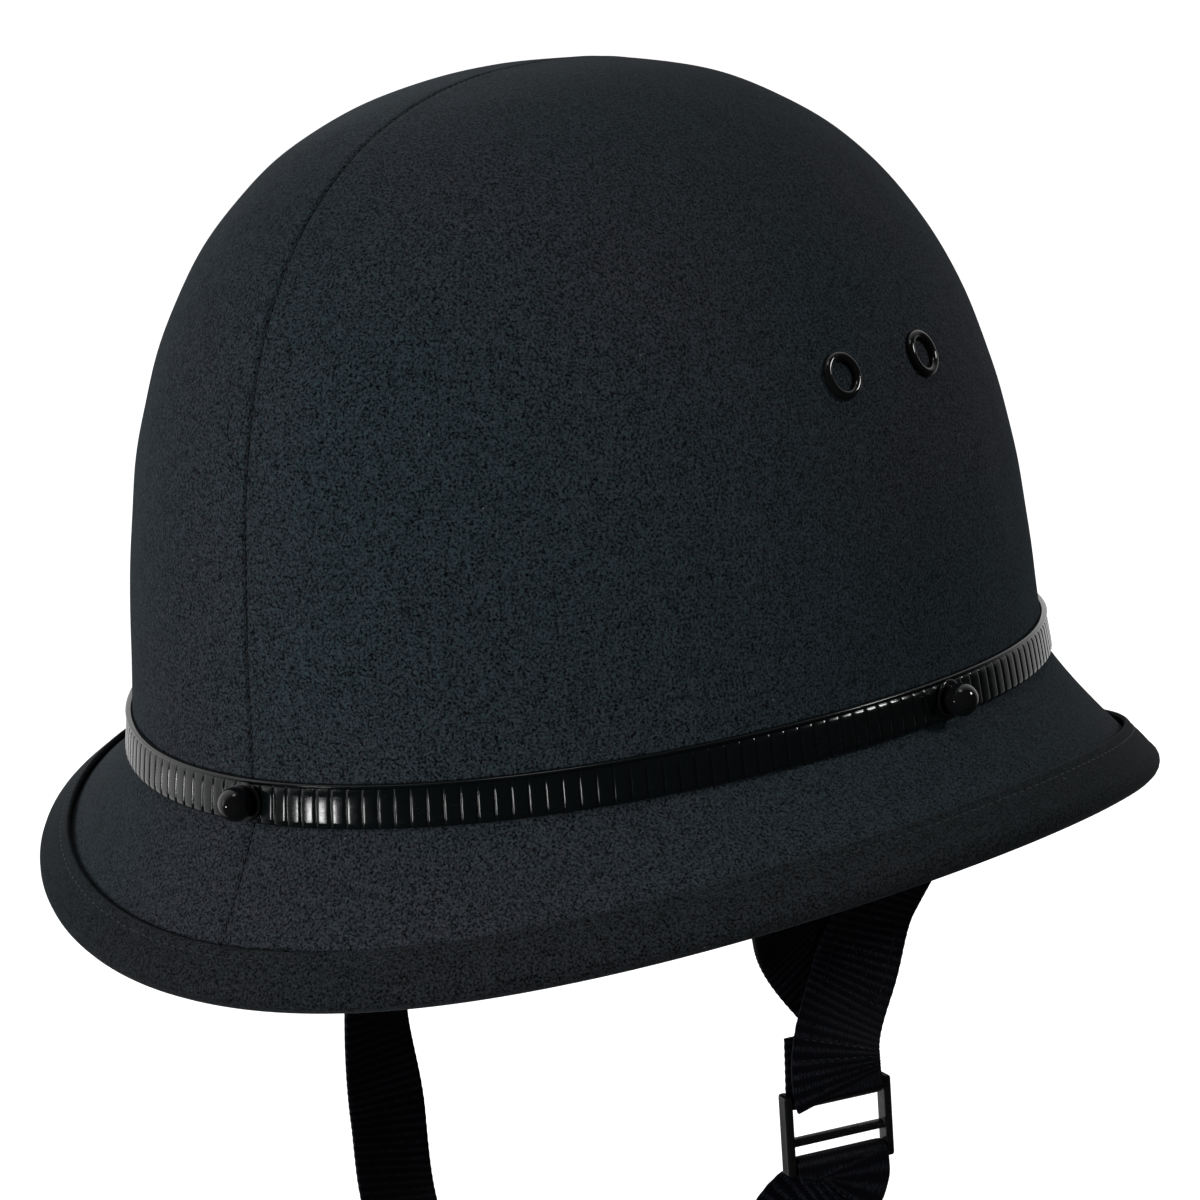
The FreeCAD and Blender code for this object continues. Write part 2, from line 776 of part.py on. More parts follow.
pivot_left = V(78, -2, -73)
pivot_right = V(-78, -2, -73)
face_left = V(0.9, -0.44, 0)
face_left.normalize()
face_right = V(-1, 0, 0)
DOWN = V(0, 0, -1)
gap = size("fold_gap")
turn = size("fold_radius")
slider_centre = V(78, -9, -106)
bar_offset = (size("slider_height") - size("slider_bar")) / 2
top_bar = slider_centre + UP * bar_offset
bottom_bar = slider_centre - UP * bar_offset

# wearer's left: the rear branch runs on down and round the slider's top bar
points, normals = anchored(anchor_left[1])
points += [V(83, 7, -52), V(79, 0, -70), top_bar + face_left * turn + UP * 12, top_bar + face_left * turn]
normals += [V(0.95, -0.2, 0.1), face_left, face_left, face_left]
rear_left = smooth(points, normals, 22)
rear_left += fold(top_bar, DOWN, face_left, turn)[1:]
tail = top_bar - face_left * turn
rear_left += smooth([tail + UP * 0.01, tail + UP * 7 + face_left * 0.5, tail + UP * 15 + face_left * 1.0],
                    [face_left * -1] * 3, 3)[1:]
with_rivet("strap_rear_left", rear_left, size("webbing_width"), [anchor_left[1]])

points, normals = anchored(anchor_left[0])
inner_face = pivot_left - face_left * (gap + 0.7)
across_left = UP.cross(face_left)
points += [V(82, -32, -38), inner_face - across_left * 10.5 + UP * 13.5,
           inner_face + across_left * 4 - UP * 6]
normals += [V(0.9, -0.44, 0.1), face_left, face_left]
with_rivet("strap_front_left", smooth(points, normals, 20), size("webbing_width"), [anchor_left[0]])

# wearer's right: both branches end at the V, the chin strap starts between them
points, normals = anchored(anchor_right[1])
points += [V(-86, 8, -50), pivot_right + V(-gap - 1.0, 1.5, 6), pivot_right + V(-gap - 0.3, 0, -7)]
normals += [V(-1, 0, 0.2), face_right, face_right]
with_rivet("strap_rear_right", smooth(points, normals, 18), size("webbing_width"), [anchor_right[1]])

points, normals = anchored(anchor_right[0])
points += [V(-82, -33, -38), pivot_right + V(gap + 0.6, -9, 10), pivot_right + V(gap + 0.3, 3.4, -6)]
normals += [V(-0.9, -0.44, 0.1), face_right, face_right]
with_rivet("strap_front_right", smooth(points, normals, 18), size("webbing_width"), [anchor_right[0]])

points, normals = anchored(anchor_left[2])
points += [V(60, 72, -26), V(33, 84, -36), V(0, 88, -39)]
normals += [V(0.75, 0.65, 0), V(0.4, 0.9, 0), V(0, 1, 0)]
mirror = [V(-p.x, p.y, p.z) for p in reversed(points[:-1])]
mirror_normals = [V(-n.x, n.y, n.z) for n in reversed(normals[:-1])]
with_rivet("nape_strap", smooth(points + mirror, normals + mirror_normals, 40), size("nape_width"),
           [anchor_left[2], anchor_right[2]])

# ---------------------------------------------------------------- chin loop

buckle = V(0, -19, -176)
socket_bar = buckle + V(size("socket_length") - size("strap_bar") / 2, 0, 0)
tongue_bar = buckle - V(size("tongue_length") - size("strap_bar") / 2, 0, 0)

outer_start = bottom_bar + face_left * turn
left_path = smooth(
    [outer_start, outer_start + DOWN * 5, V(73, -15, -127), V(62, -20, -144), V(50, -22, -160),
     V(38, -21, -171), socket_bar + V(5, 0, -turn), socket_bar + V(0, 0, -turn)],
    [face_left, face_left, V(0.82, -0.55, 0.1), V(0.72, -0.5, -0.4), V(0.5, -0.25, -0.8),
     V(0.25, -0.1, -1), DOWN, DOWN], 30)
start_tail = bottom_bar - face_left * turn
left_tail = smooth([start_tail + V(-3.0, -1.2, -9.5), start_tail + V(-0.6, -0.1, -4), start_tail],
                   [V(-0.85, 0.5, -0.1), face_left * -1, face_left * -1], 4)
socket_tail = socket_bar + V(0, 0, turn)
right_end = smooth([socket_tail, socket_tail + V(6, 0, -0.1), socket_tail + V(11.5, -0.5, 2.6)],
                   [UP, UP, V(-0.4, 0, 1)], 3)
node(webbing("chin_strap_left",
             left_tail + turned(fold(bottom_bar, UP, face_left, turn))[1:] + left_path[1:]
             + fold(socket_bar, V(-1, 0, 0), DOWN, turn)[1:] + right_end[1:], size("webbing_width")))

keeper_axis = V(-0.94, 0, 0.34)
keeper_axis.normalize()
keeper_face = V(-0.34, 0, -0.94)
keeper_face.normalize()
run_start = tongue_bar + V(-4, 0, -turn + 0.25)
right_path = smooth(
    [pivot_right + V(0, 0, 7), pivot_right, V(-78, -7, -98), V(-75, -9, -128), V(-68, -15, -149)]
    + [run_start + keeper_axis * d for d in (37, 30, 18, 6)]
    + [tongue_bar + V(0, 0, -turn)],
    [face_right, face_right, face_right, V(-0.96, 0.2, -0.1), V(-0.9, 0.1, -0.5)]
    + [keeper_face] * 4 + [DOWN], 36)
over_bar = fold(tongue_bar, V(1, 0, 0), DOWN, turn)
tail_line = run_start - keeper_face * gap
free_end = [(8, 1.3), (15, 0.3), (24, 0.15), (33, 0.15)]
right_tail = smooth([tongue_bar + V(0, 0, turn), tongue_bar + V(-3, 0, turn)]
                    + [tail_line + keeper_axis * d - keeper_face * rise for d, rise in free_end],
                    [UP, UP] + [keeper_face * -1] * len(free_end), 14)
node(webbing("chin_strap_right", right_path + over_bar[1:] + right_tail[1:], size("webbing_width")))


# ---------------------------------------------------------------- moulded hardware

def new_body(label):
    body = doc.addObject("PartDesign::Body", label)
    body.Label = label
    return body


def new_sketch(body, name, role, lift=0.0):
    sketch = body.newObject("Sketcher::SketchObject", name)
    base = [f for f in body.Origin.OriginFeatures if f.Role == role][0]
    sketch.AttachmentSupport = (base, "")
    sketch.MapMode = "FlatFace"
    sketch.AttachmentOffset = FreeCAD.Placement(V(0, 0, lift), FreeCAD.Rotation())
    return sketch


def pin(sketch, geo, pos, x, y):
    """Hold a sketch point at two sheet expressions."""
    for axis, expression, on_axis in (("X", x, -2), ("Y", y, -1)):
        value = float(sheet.evalExpression(expression.replace("sizes.", "")))
        if abs(value) < 1e-9:
            sketch.addConstraint(Sketcher.Constraint("PointOnObject", geo, pos, on_axis))
        elif value > 0:
            index = sketch.addConstraint(Sketcher.Constraint("Distance" + axis, -1, 1, geo, pos, value))
            sketch.setExpression("Constraints[%d]" % index, expression)
        else:
            index = sketch.addConstraint(Sketcher.Constraint("Distance" + axis, geo, pos, -1, 1, -value))
            sketch.setExpression("Constraints[%d]" % index, "-(%s)" % expression)


def rectangle(sketch, left, right, bottom, top):
    """Axis-aligned rectangle whose sides are sheet expressions."""
    value = [float(sheet.evalExpression(e.replace("sizes.", ""))) for e in (left, right, bottom, top)]
    corners = [V(value[0], value[2], 0), V(value[1], value[2], 0), V(value[1], value[3], 0),
               V(value[0], value[3], 0)]
    first = sketch.GeometryCount
    for i in range(4):
        sketch.addGeometry(Part.LineSegment(corners[i], corners[(i + 1) % 4]), False)
    for i in range(4):
        sketch.addConstraint(Sketcher.Constraint("Coincident", first + i, 2, first + (i + 1) % 4, 1))
    for i, kind in enumerate(("Horizontal", "Vertical", "Horizontal", "Vertical")):
        sketch.addConstraint(Sketcher.Constraint(kind, first + i))
    pin(sketch, first, 1, left, bottom)
    pin(sketch, first + 2, 1, right, top)


def pad(body, sketch, length, name):
    feature = body.newObject("PartDesign::Pad", name)
    feature.Profile = sketch
    feature.SideType = "Symmetric"
    feature.setExpression("Length", length)
    doc.recompute()
    return feature


def pocket(body, sketch, length, name):
    feature = body.newObject("PartDesign::Pocket", name)
    feature.Profile = sketch
    feature.SideType = "Symmetric"
    feature.setExpression("Length", length)
    doc.recompute()
    return feature


def soften(body, base, radius, wanted, name):
    """Fillet the edges of the base feature that the test picks."""
    edges = ["Edge%d" % (i + 1) for i, edge in enumerate(base.Shape.Edges) if wanted(edge)]
    feature = body.newObject("PartDesign::Fillet", name)
    feature.Base = (base, edges)
    feature.Radius = radius
    doc.recompute()
    return feature


def runs_along(edge, axis):
    """True for a straight edge parallel to the axis."""
    if len(edge.Vertexes) != 2 or edge.Curve.TypeId != "Part::GeomLine":
        return False
    return abs(edge.tangentAt(edge.FirstParameter).dot(axis)) > 0.999


X_AXIS, Y_AXIS = V(1, 0, 0), V(0, 1, 0)

# slider: local X across the webbing, local Z up the strap
body = new_body("slider_left")
sketch = new_sketch(body, "slider_plate_sketch", "XZ_Plane")
rectangle(sketch, "-sizes.slider_width / 2", "sizes.slider_width / 2",
          "-sizes.slider_height / 2", "sizes.slider_height / 2")
pad(body, sketch, "sizes.slider_thickness", "slider_plate")
sketch = new_sketch(body, "slider_slot_sketch", "XZ_Plane")
rectangle(sketch, "-sizes.slider_slot_width / 2", "sizes.slider_slot_width / 2",
          "sizes.slider_cross_high", "sizes.slider_height / 2 - sizes.slider_bar")
rectangle(sketch, "-sizes.slider_slot_width / 2", "sizes.slider_slot_width / 2",
          "-sizes.slider_height / 2 + sizes.slider_bar", "sizes.slider_cross_low")
pocket(body, sketch, "sizes.slider_thickness * 3", "slider_slots")
sketch = new_sketch(body, "slider_rail_sketch", "XZ_Plane")
for left, right in (("-sizes.slider_width / 2", "-sizes.slider_slot_width / 2"),
                    ("sizes.slider_slot_width / 2", "sizes.slider_width / 2")):
    rectangle(sketch, left, right, "-sizes.slider_height / 2", "sizes.slider_height / 2")
rails = pad(body, sketch, "sizes.slider_rail_thickness", "slider_rails")
half_slider = size("slider_width") / 2
soften(body, rails, 0.8, lambda e: abs(abs(e.CenterOfMass.x) - half_slider) < 0.01, "slider_rounding")
slider_turn = FreeCAD.Rotation(across_left, face_left * -1, UP, "ZYX")
body.Placement = FreeCAD.Placement(slider_centre, slider_turn)
node(body)

# buckle socket: mouth at x = 0, strap bar at the +X end
body = new_body("buckle_socket")
sketch = new_sketch(body, "socket_outline_sketch", "XY_Plane")
rectangle(sketch, "0", "sizes.socket_length", "-sizes.buckle_width / 2", "sizes.buckle_width / 2")
block = pad(body, sketch, "sizes.buckle_thickness", "socket_block")
block = soften(body, block, 3.0, lambda e: runs_along(e, UP) and e.CenterOfMass.x > 1, "socket_corners")
sketch = new_sketch(body, "socket_cavity_sketch", "XY_Plane")
rectangle(sketch, "-1", "sizes.socket_cavity_depth", "-sizes.socket_cavity_width / 2",
          "sizes.socket_cavity_width / 2")
pocket(body, sketch, "sizes.socket_cavity_height", "socket_cavity")
sketch = new_sketch(body, "socket_window_sketch", "XY_Plane")
rectangle(sketch, "sizes.socket_window_start", "sizes.socket_window_end", "-sizes.buckle_width",
          "sizes.buckle_width")
pocket(body, sketch, "sizes.socket_cavity_height", "socket_windows")
sketch = new_sketch(body, "socket_slot_sketch", "XY_Plane")
rectangle(sketch, "sizes.socket_length - sizes.strap_bar - sizes.strap_slot_length",
          "sizes.socket_length - sizes.strap_bar", "-sizes.strap_slot_width / 2",
          "sizes.strap_slot_width / 2")
pocket(body, sketch, "sizes.buckle_thickness * 2", "socket_strap_slot")
sketch = new_sketch(body, "socket_bar_relief_sketch", "XZ_Plane")
rectangle(sketch, "sizes.socket_length - sizes.strap_bar - 0.01", "sizes.socket_length + 1",
          "sizes.strap_bar / 2", "sizes.buckle_thickness")
rectangle(sketch, "sizes.socket_length - sizes.strap_bar - 0.01", "sizes.socket_length + 1",
          "-sizes.buckle_thickness", "-sizes.strap_bar / 2")
pocket(body, sketch, "sizes.strap_slot_width", "socket_bar_relief")
body.Placement = FreeCAD.Placement(buckle, FreeCAD.Rotation())
node(body)

# buckle tongue: prongs reach into +X, strap bar at the -X end
body = new_body("buckle_tongue")
sketch = new_sketch(body, "tongue_outline_sketch", "XY_Plane")
rectangle(sketch, "-sizes.tongue_length", "-0.4", "-sizes.buckle_width / 2", "sizes.buckle_width / 2")
block = pad(body, sketch, "sizes.buckle_thickness", "tongue_block")
soften(body, block, 3.0, lambda e: runs_along(e, UP) and e.CenterOfMass.x < -2, "tongue_corners")
sketch = new_sketch(body, "tongue_slot_sketch", "XY_Plane")
rectangle(sketch, "-sizes.tongue_length + sizes.strap_bar",
          "-sizes.tongue_length + sizes.strap_bar + sizes.strap_slot_length",
          "-sizes.strap_slot_width / 2", "sizes.strap_slot_width / 2")
pocket(body, sketch, "sizes.buckle_thickness * 2", "tongue_strap_slot")
sketch = new_sketch(body, "tongue_bar_relief_sketch", "XZ_Plane")
rectangle(sketch, "-sizes.tongue_length - 1", "-sizes.tongue_length + sizes.strap_bar + 0.01",
          "sizes.strap_bar / 2", "sizes.buckle_thickness")
rectangle(sketch, "-sizes.tongue_length - 1", "-sizes.tongue_length + sizes.strap_bar + 0.01",
          "-sizes.buckle_thickness", "-sizes.strap_bar / 2")
pocket(body, sketch, "sizes.strap_slot_width", "tongue_bar_relief")
sketch = new_sketch(body, "tongue_prong_sketch", "XY_Plane")
rectangle(sketch, "-1", "sizes.prong_length", "sizes.prong_spread - sizes.prong_width", "sizes.prong_spread")
rectangle(sketch, "-1", "sizes.prong_length", "-sizes.prong_spread", "sizes.prong_width - sizes.prong_spread")
rectangle(sketch, "-1", "sizes.guide_length", "-sizes.guide_width / 2", "sizes.guide_width / 2")
prongs = pad(body, sketch, "sizes.prong_thickness", "tongue_prongs")
soften(body, prongs, 1.2, lambda e: runs_along(e, UP) and e.CenterOfMass.x > 9, "tongue_prong_tips")
body.Placement = FreeCAD.Placement(buckle, FreeCAD.Rotation())
node(body)

# keeper: flat sleeve round the doubled strap, local Z along the strap
body = new_body("strap_keeper")
sketch = new_sketch(body, "keeper_sketch", "XY_Plane")
rectangle(sketch, "-sizes.keeper_inner_width / 2 - sizes.keeper_wall",
          "sizes.keeper_inner_width / 2 + sizes.keeper_wall",
          "-sizes.keeper_inner_height / 2 - sizes.keeper_wall",
          "sizes.keeper_inner_height / 2 + sizes.keeper_wall")
rectangle(sketch, "-sizes.keeper_inner_width / 2", "sizes.keeper_inner_width / 2",
          "-sizes.keeper_inner_height / 2", "sizes.keeper_inner_height / 2")
sleeve = pad(body, sketch, "sizes.keeper_length", "keeper_sleeve")
half_keeper = size("keeper_inner_width") / 2 + size("keeper_wall")
soften(body, sleeve, 1.2, lambda e: runs_along(e, UP) and abs(abs(e.CenterOfMass.x) - half_keeper) < 0.01,
       "keeper_corners")
keeper_middle = run_start + keeper_axis * 19 - keeper_face * (gap / 2)
body.Placement = place(keeper_middle, keeper_axis, keeper_face)
node(body)

# ---------------------------------------------------------------- checks and export

doc.recompute()
for obj in doc.Objects:
    if "Invalid" in obj.State or "Error" in obj.State:
        raise RuntimeError("feature %s failed: %s" % (obj.Label, obj.State))
os.makedirs("parts", exist_ok=True)
for obj in nodes:
    if obj.Shape.isNull() or not obj.Shape.isValid():
        raise RuntimeError("bad shape: " + obj.Label)
    obj.Shape.exportStep("parts/%s.step" % obj.Label)
    box = obj.Shape.BoundBox
    print("%-24s volume %10.1f  x %7.1f %7.1f  y %7.1f %7.1f  z %7.1f %7.1f" % (
        obj.Label, obj.Shape.Volume, box.XMin, box.XMax, box.YMin, box.YMax, box.ZMin, box.ZMax))
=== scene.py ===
import math

import bmesh
import bpy
import numpy as np
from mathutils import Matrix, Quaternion, Vector


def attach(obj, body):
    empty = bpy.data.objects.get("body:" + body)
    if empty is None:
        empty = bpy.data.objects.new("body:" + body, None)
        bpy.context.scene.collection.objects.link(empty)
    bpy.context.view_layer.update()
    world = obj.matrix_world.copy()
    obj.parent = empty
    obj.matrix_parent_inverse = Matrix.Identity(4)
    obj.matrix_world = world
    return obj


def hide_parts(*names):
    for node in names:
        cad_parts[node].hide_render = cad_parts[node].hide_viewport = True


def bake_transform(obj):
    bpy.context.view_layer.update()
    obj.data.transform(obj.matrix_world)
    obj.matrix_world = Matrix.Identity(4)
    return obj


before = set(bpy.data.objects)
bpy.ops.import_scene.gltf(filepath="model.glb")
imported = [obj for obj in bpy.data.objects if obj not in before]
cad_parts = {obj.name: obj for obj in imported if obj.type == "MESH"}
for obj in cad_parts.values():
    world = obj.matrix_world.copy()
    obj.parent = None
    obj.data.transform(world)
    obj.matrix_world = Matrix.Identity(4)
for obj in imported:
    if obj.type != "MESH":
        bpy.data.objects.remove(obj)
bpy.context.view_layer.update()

# Cloth-covered riding helmet. Lengths in this file are millimetres until a mesh is made.
# phi turns round the helmet: 0 at the front (-Y), a quarter turn at the wearer's left (+X).
MM = 0.001
UP = np.array([0.0, 0.0, 1.0])
DOWN = -UP
TAU = 2 * math.pi
SEED = 7

# ---------------------------------------------------------------- camera

camera = bpy.data.objects.new("camera", bpy.data.cameras.new("camera"))
bpy.context.scene.collection.objects.link(camera)
bpy.context.scene.camera = camera
camera.data.sensor_width = 36.0
camera.data.lens = 124.95
camera.data.clip_start = 0.01
camera.location = (0.67130, -0.80569, 0.24495)
AIM = Vector((0.00793, -0.00303, 0.02158))
ROLL = math.radians(3.91)
camera.rotation_mode = "QUATERNION"
sight = AIM - camera.location
camera.rotation_quaternion = Quaternion(sight.normalized(), ROLL) @ sight.to_track_quat("-Z", "Y")

# ---------------------------------------------------------------- helmet surfaces

HALF_WIDTH = 110.5
HALF_LENGTH = 127.0
HEIGHT = 159.0
FULLNESS = 2.27
TOP_TAPER = 0.08
EGG = 0.033
LEAN = 4.2
BRIM_BOW = 0.17
# at the front, the sides and the back
SQUARENESS = (4.0, 2.5, 4.0)
EDGE_DIP = (6.6, 0.0, 3.0)
BRIM_REACH = (20.1, 29.0, 20.2)
BRIM_DROP = (34.5, 20.0, 41.7)


def around(front, side, back, phi):
    """Value round the helmet, from its values at the front, the sides and the back."""
    end = np.where(np.cos(phi) > 0, front, back)
    return side + (end - side) * np.cos(phi) ** 2


def unit(v):
    return v / np.linalg.norm(v, axis=-1, keepdims=True)


def travels(path):
    """Distance travelled at each point of a path."""
    return np.concatenate([[0.0], np.cumsum(np.linalg.norm(np.diff(path, axis=0), axis=1))])


def at_travel(values, travel, wanted):
    """Values along a path at the wanted travels."""
    return np.stack([np.interp(wanted, travel, values[:, i]) for i in range(3)], axis=1)


def crown_surface(phi, u):
    """Outer face of the crown: u is 1 at the lower edge and 0 at the top."""
    rise = 1 - u ** FULLNESS
    power = around(*SQUARENESS, phi)
    scale = (1 - TOP_TAPER * rise) * np.maximum(0.0, 1 - rise ** power) ** (1 / FULLNESS)
    x = HALF_WIDTH * (1 - EGG * np.cos(phi)) * np.sin(phi) * scale
    y = -HALF_LENGTH * np.cos(phi) * scale - LEAN * rise ** 2
    z = HEIGHT * rise - around(*EDGE_DIP, phi) * (1 - rise)
    return np.stack(np.broadcast_arrays(x, y, z), axis=-1)


def crown_normal(phi, u):
    """Outward normal of the crown's face, which is upwards at the very top."""
    step = 1e-4
    safe = np.maximum(u, 2e-3)
    sideways = crown_surface(phi + step, safe) - crown_surface(phi - step, safe)
    upwards = crown_surface(phi, safe - step) - crown_surface(phi, safe)
    normal = unit(np.cross(sideways, upwards))
    top = np.broadcast_to(np.asarray(u)[..., None] < 1.5e-3, normal.shape)
    return np.where(top, UP, normal)


def crown(phi, u, inset):
    """Point in the crown's thickness, inset from its outer face."""
    phi, u = np.broadcast_arrays(phi, u)
    inset = np.broadcast_to(inset, phi.shape)
    return crown_surface(phi, u) - crown_normal(phi, u) * inset[..., None]


def level(z):
    """The crown parameter u at height z above the lower edge."""
    return (1 - np.asarray(z, float) / HEIGHT) ** (1 / FULLNESS)


def wall(phi, z, inset):
    """Point in the wall's thickness at height z, carried straight down below the lower edge."""
    phi, z = np.broadcast_arrays(phi, np.asarray(z, float))
    below = np.minimum(z, 0.0)
    return crown(phi, level(np.maximum(z, 0.0)), inset) + UP * below[..., None]


def outward(phi):
    """Level direction away from the crown's lower edge."""
    normal = crown_normal(phi, np.ones_like(phi)) * np.array([1.0, 1.0, 0.0])
    return unit(normal)


def brim_profile(phi, k):
    """Point (reach, rise), upward normal and outward tangent of the brim's top face, and its length."""
    reach = around(*BRIM_REACH, phi)
    drop = around(*BRIM_DROP, phi)
    fall = drop * ((1 + BRIM_BOW) * k - BRIM_BOW * k * k)
    slope = drop * (1 + BRIM_BOW - 2 * BRIM_BOW * k)
    steep = np.hypot(reach, slope)
    normal = (slope / steep, reach / steep)
    tangent = (reach / steep, -slope / steep)
    return (reach * k, -fall), normal, tangent, np.hypot(reach, drop)


def flare(phi, reach, rise):
    """Point out from the crown's lower edge by reach, and above it by rise."""
    base = crown_surface(phi, np.ones_like(phi))
    return base + outward(phi) * np.asarray(reach)[..., None] + UP * np.asarray(rise)[..., None]


def brim(phi, k, height):
    """Point over the brim: k is 0 at the crown and 1 at the rim, height is square to its top face."""
    phi, k = np.broadcast_arrays(phi, np.asarray(k, float))
    point, normal, _, _ = brim_profile(phi, k)
    return flare(phi, point[0] + normal[0] * height, point[1] + normal[1] * height)


# ---------------------------------------------------------------- meshes

WELD = 2e-6
CROWDING = 0.9


def grid_quads(rows, columns, first):
    index = first + np.arange(rows * columns).reshape(rows, columns)
    corners = [index[:-1, :-1], index[1:, :-1], index[1:, 1:], index[:-1, 1:]]
    return np.stack(corners, axis=-1).reshape(-1, 4)


def flat_map(grid):
    """Texture coordinates in millimetres along the two directions of a grid."""
    rows = np.linalg.norm(np.diff(grid, axis=0), axis=-1).mean(axis=1)
    columns = np.linalg.norm(np.diff(grid, axis=1), axis=-1).mean(axis=0)
    u = np.concatenate([[0.0], np.cumsum(rows)])
    v = np.concatenate([[0.0], np.cumsum(columns)])
    return np.stack(np.meshgrid(u, v, indexing="ij"), axis=-1)


def add_object(name, mesh):
    obj = bpy.data.objects.new(name, mesh)
    bpy.context.scene.collection.objects.link(obj)
    return obj


def piece(name, grids, maps=None):
    """One closed mesh object from grids of points that share their edges."""
    maps = maps or [flat_map(g) for g in grids]
    points, coords, quads, first = [], [], [], 0
    for grid, uv in zip(grids, maps):
        quads.append(grid_quads(*grid.shape[:2], first))
        points.append(grid.reshape(-1, 3))
        coords.append(uv.reshape(-1, 2))
        first += grid.shape[0] * grid.shape[1]
    points, coords, quads = np.concatenate(points), np.concatenate(coords), np.concatenate(quads)
    mesh = bpy.data.meshes.new(name)
    mesh.vertices.add(len(points))
    mesh.vertices.foreach_set("co", (points * MM).astype(np.float32).ravel())
    mesh.loops.add(quads.size)
    mesh.loops.foreach_set("vertex_index", quads.astype(np.int32).ravel())
    mesh.polygons.add(len(quads))
    mesh.polygons.foreach_set("loop_start", np.arange(0, quads.size, 4, dtype=np.int32))
    layer = mesh.uv_layers.new(name="cloth")
    layer.data.foreach_set("uv", (coords[quads.ravel()] * 0.01).astype(np.float32).ravel())
    mesh.update(calc_edges=True)
    work = bmesh.new()
    work.from_mesh(mesh)
    bmesh.ops.remove_doubles(work, verts=work.verts, dist=WELD)
    bmesh.ops.dissolve_degenerate(work, edges=work.edges, dist=1e-7)
    return smoothed(name, mesh, work)


def smoothed(name, mesh, work):
    """Object with the worked mesh, its faces turned outwards and shaded smooth."""
    bmesh.ops.recalc_face_normals(work, faces=work.faces)
    for face in work.faces:
        face.smooth = True
    work.to_mesh(mesh)
    work.free()
    return add_object(name, mesh)


def rim(a, b):
    """Strip that joins two edges."""
    return np.stack([a, b], axis=1)


def ring_slab(outer, inner):
    """Grids of a sheet between two faces that closes on itself round the helmet."""
    return [outer, inner, rim(outer[:, 0], inner[:, 0]), rim(outer[:, -1], inner[:, -1])]


def slab(outer, inner):
    """The same for a sheet that doesn't close on itself, with its two other edges."""
    return ring_slab(outer, inner) + [rim(outer[0], inner[0]), rim(outer[-1], inner[-1])]


def even_noise(points, size, seed):
    """Smooth random field over points: features about size across, values mostly within 2 of 0."""
    rng = np.random.default_rng(seed)
    total = np.zeros(points.shape[:-1])
    for _ in range(14):
        direction = unit(rng.normal(size=3))
        total += np.cos((points @ direction) * (TAU / size * rng.uniform(0.6, 1.5)) + rng.uniform(0, TAU))
    return total / 3.0


def dense_ends(count, start, end):
    """Directions from start to end, closest together at both ends."""
    s = np.linspace(0.0, 1.0, count)
    return start + (end - start) * (s - CROWDING * np.sin(TAU * s) / TAU)


# ---------------------------------------------------------------- materials

RIB_PITCH = 2.2


class Nodes:
    """A node tree whose nodes are added one by one."""

    def __init__(self, tree):
        self.tree = tree

    def add(self, kind, settings=None, **sockets):
        node = self.tree.nodes.new("ShaderNode" + kind)
        for key, value in (settings or {}).items():
            setattr(node, key, value)
        for key, value in sockets.items():
            self.feed(node.inputs[key.replace("_", " ")], value)
        return node

    def feed(self, socket, value):
        if isinstance(value, bpy.types.NodeSocket):
            self.tree.links.new(value, socket)
        else:
            socket.default_value = value

    def ranged(self, value, low, high, new_low, new_high):
        node = self.add("MapRange", Value=value)
        for i, number in enumerate((low, high, new_low, new_high), start=1):
            node.inputs[i].default_value = number
        return node.outputs["Result"]


class Paint(Nodes):
    """A material on a Principled BSDF."""

    def __init__(self, name):
        self.material = bpy.data.materials.new(name)
        self.material.use_nodes = True
        super().__init__(self.material.node_tree)
        self.shader = self.tree.nodes["Principled BSDF"]

    def set(self, **sockets):
        for key, value in sockets.items():
            self.feed(self.shader.inputs[key.replace("_", " ")], value)

    def place(self, scale, uv=False, stretch=(1, 1, 1)):
        """Texture coordinates whose unit is scale millimetres."""
        source = self.add("TexCoord").outputs["UV" if uv else "Object"]
        factor = 100.0 if uv else 1000.0
        scales = [factor * s / scale for s in stretch]
        return self.add("Mapping", Vector=source, Scale=scales).outputs["Vector"]

    def noise(self, size, detail=2.0, rough=0.5, uv=False, stretch=(1, 1, 1)):
        place = self.place(size, uv, stretch)
        node = self.add("TexNoise", Vector=place, Scale=1.0, Detail=detail, Roughness=rough)
        return node.outputs["Fac"]

    def wave(self, pitch, direction, distortion=0.0):
        """Bands this many millimetres apart on the cloth's own map."""
        place = self.place(pitch * 20.0 / TAU, uv=True)
        settings = {"bands_direction": direction}
        node = self.add("TexWave", settings, Vector=place, Scale=1.0, Distortion=distortion)
        return node.outputs["Fac"]

    def cells(self, size, feature="F1"):
        node = self.add("TexVoronoi", {"feature": feature}, Vector=self.place(size), Scale=1.0)
        return node.outputs["Distance"]

    def math(self, operation, a, b=0.0, clamp=False):
        node = self.add("Math", {"operation": operation, "use_clamp": clamp})
        self.feed(node.inputs[0], a)
        self.feed(node.inputs[1], b)
        return node.outputs[0]

    def mix(self, factor, a, b):
        node = self.add("Mix", {"data_type": "RGBA"})
        self.feed(node.inputs[0], factor)
        self.feed(node.inputs[6], a)
        self.feed(node.inputs[7], b)
        return node.outputs[2]

    def bump(self, height, distance, strength, under=None):
        node = self.add("Bump", Height=height, Strength=strength, Distance=distance * MM)
        if under is not None:
            self.feed(node.inputs["Normal"], under)
        return node.outputs["Normal"]


def rgb(r, g, b):
    return (r, g, b, 1.0)


def tint(colour, gain, lift=0.0):
    return tuple(c * gain + lift for c in colour[:3]) + (1.0,)


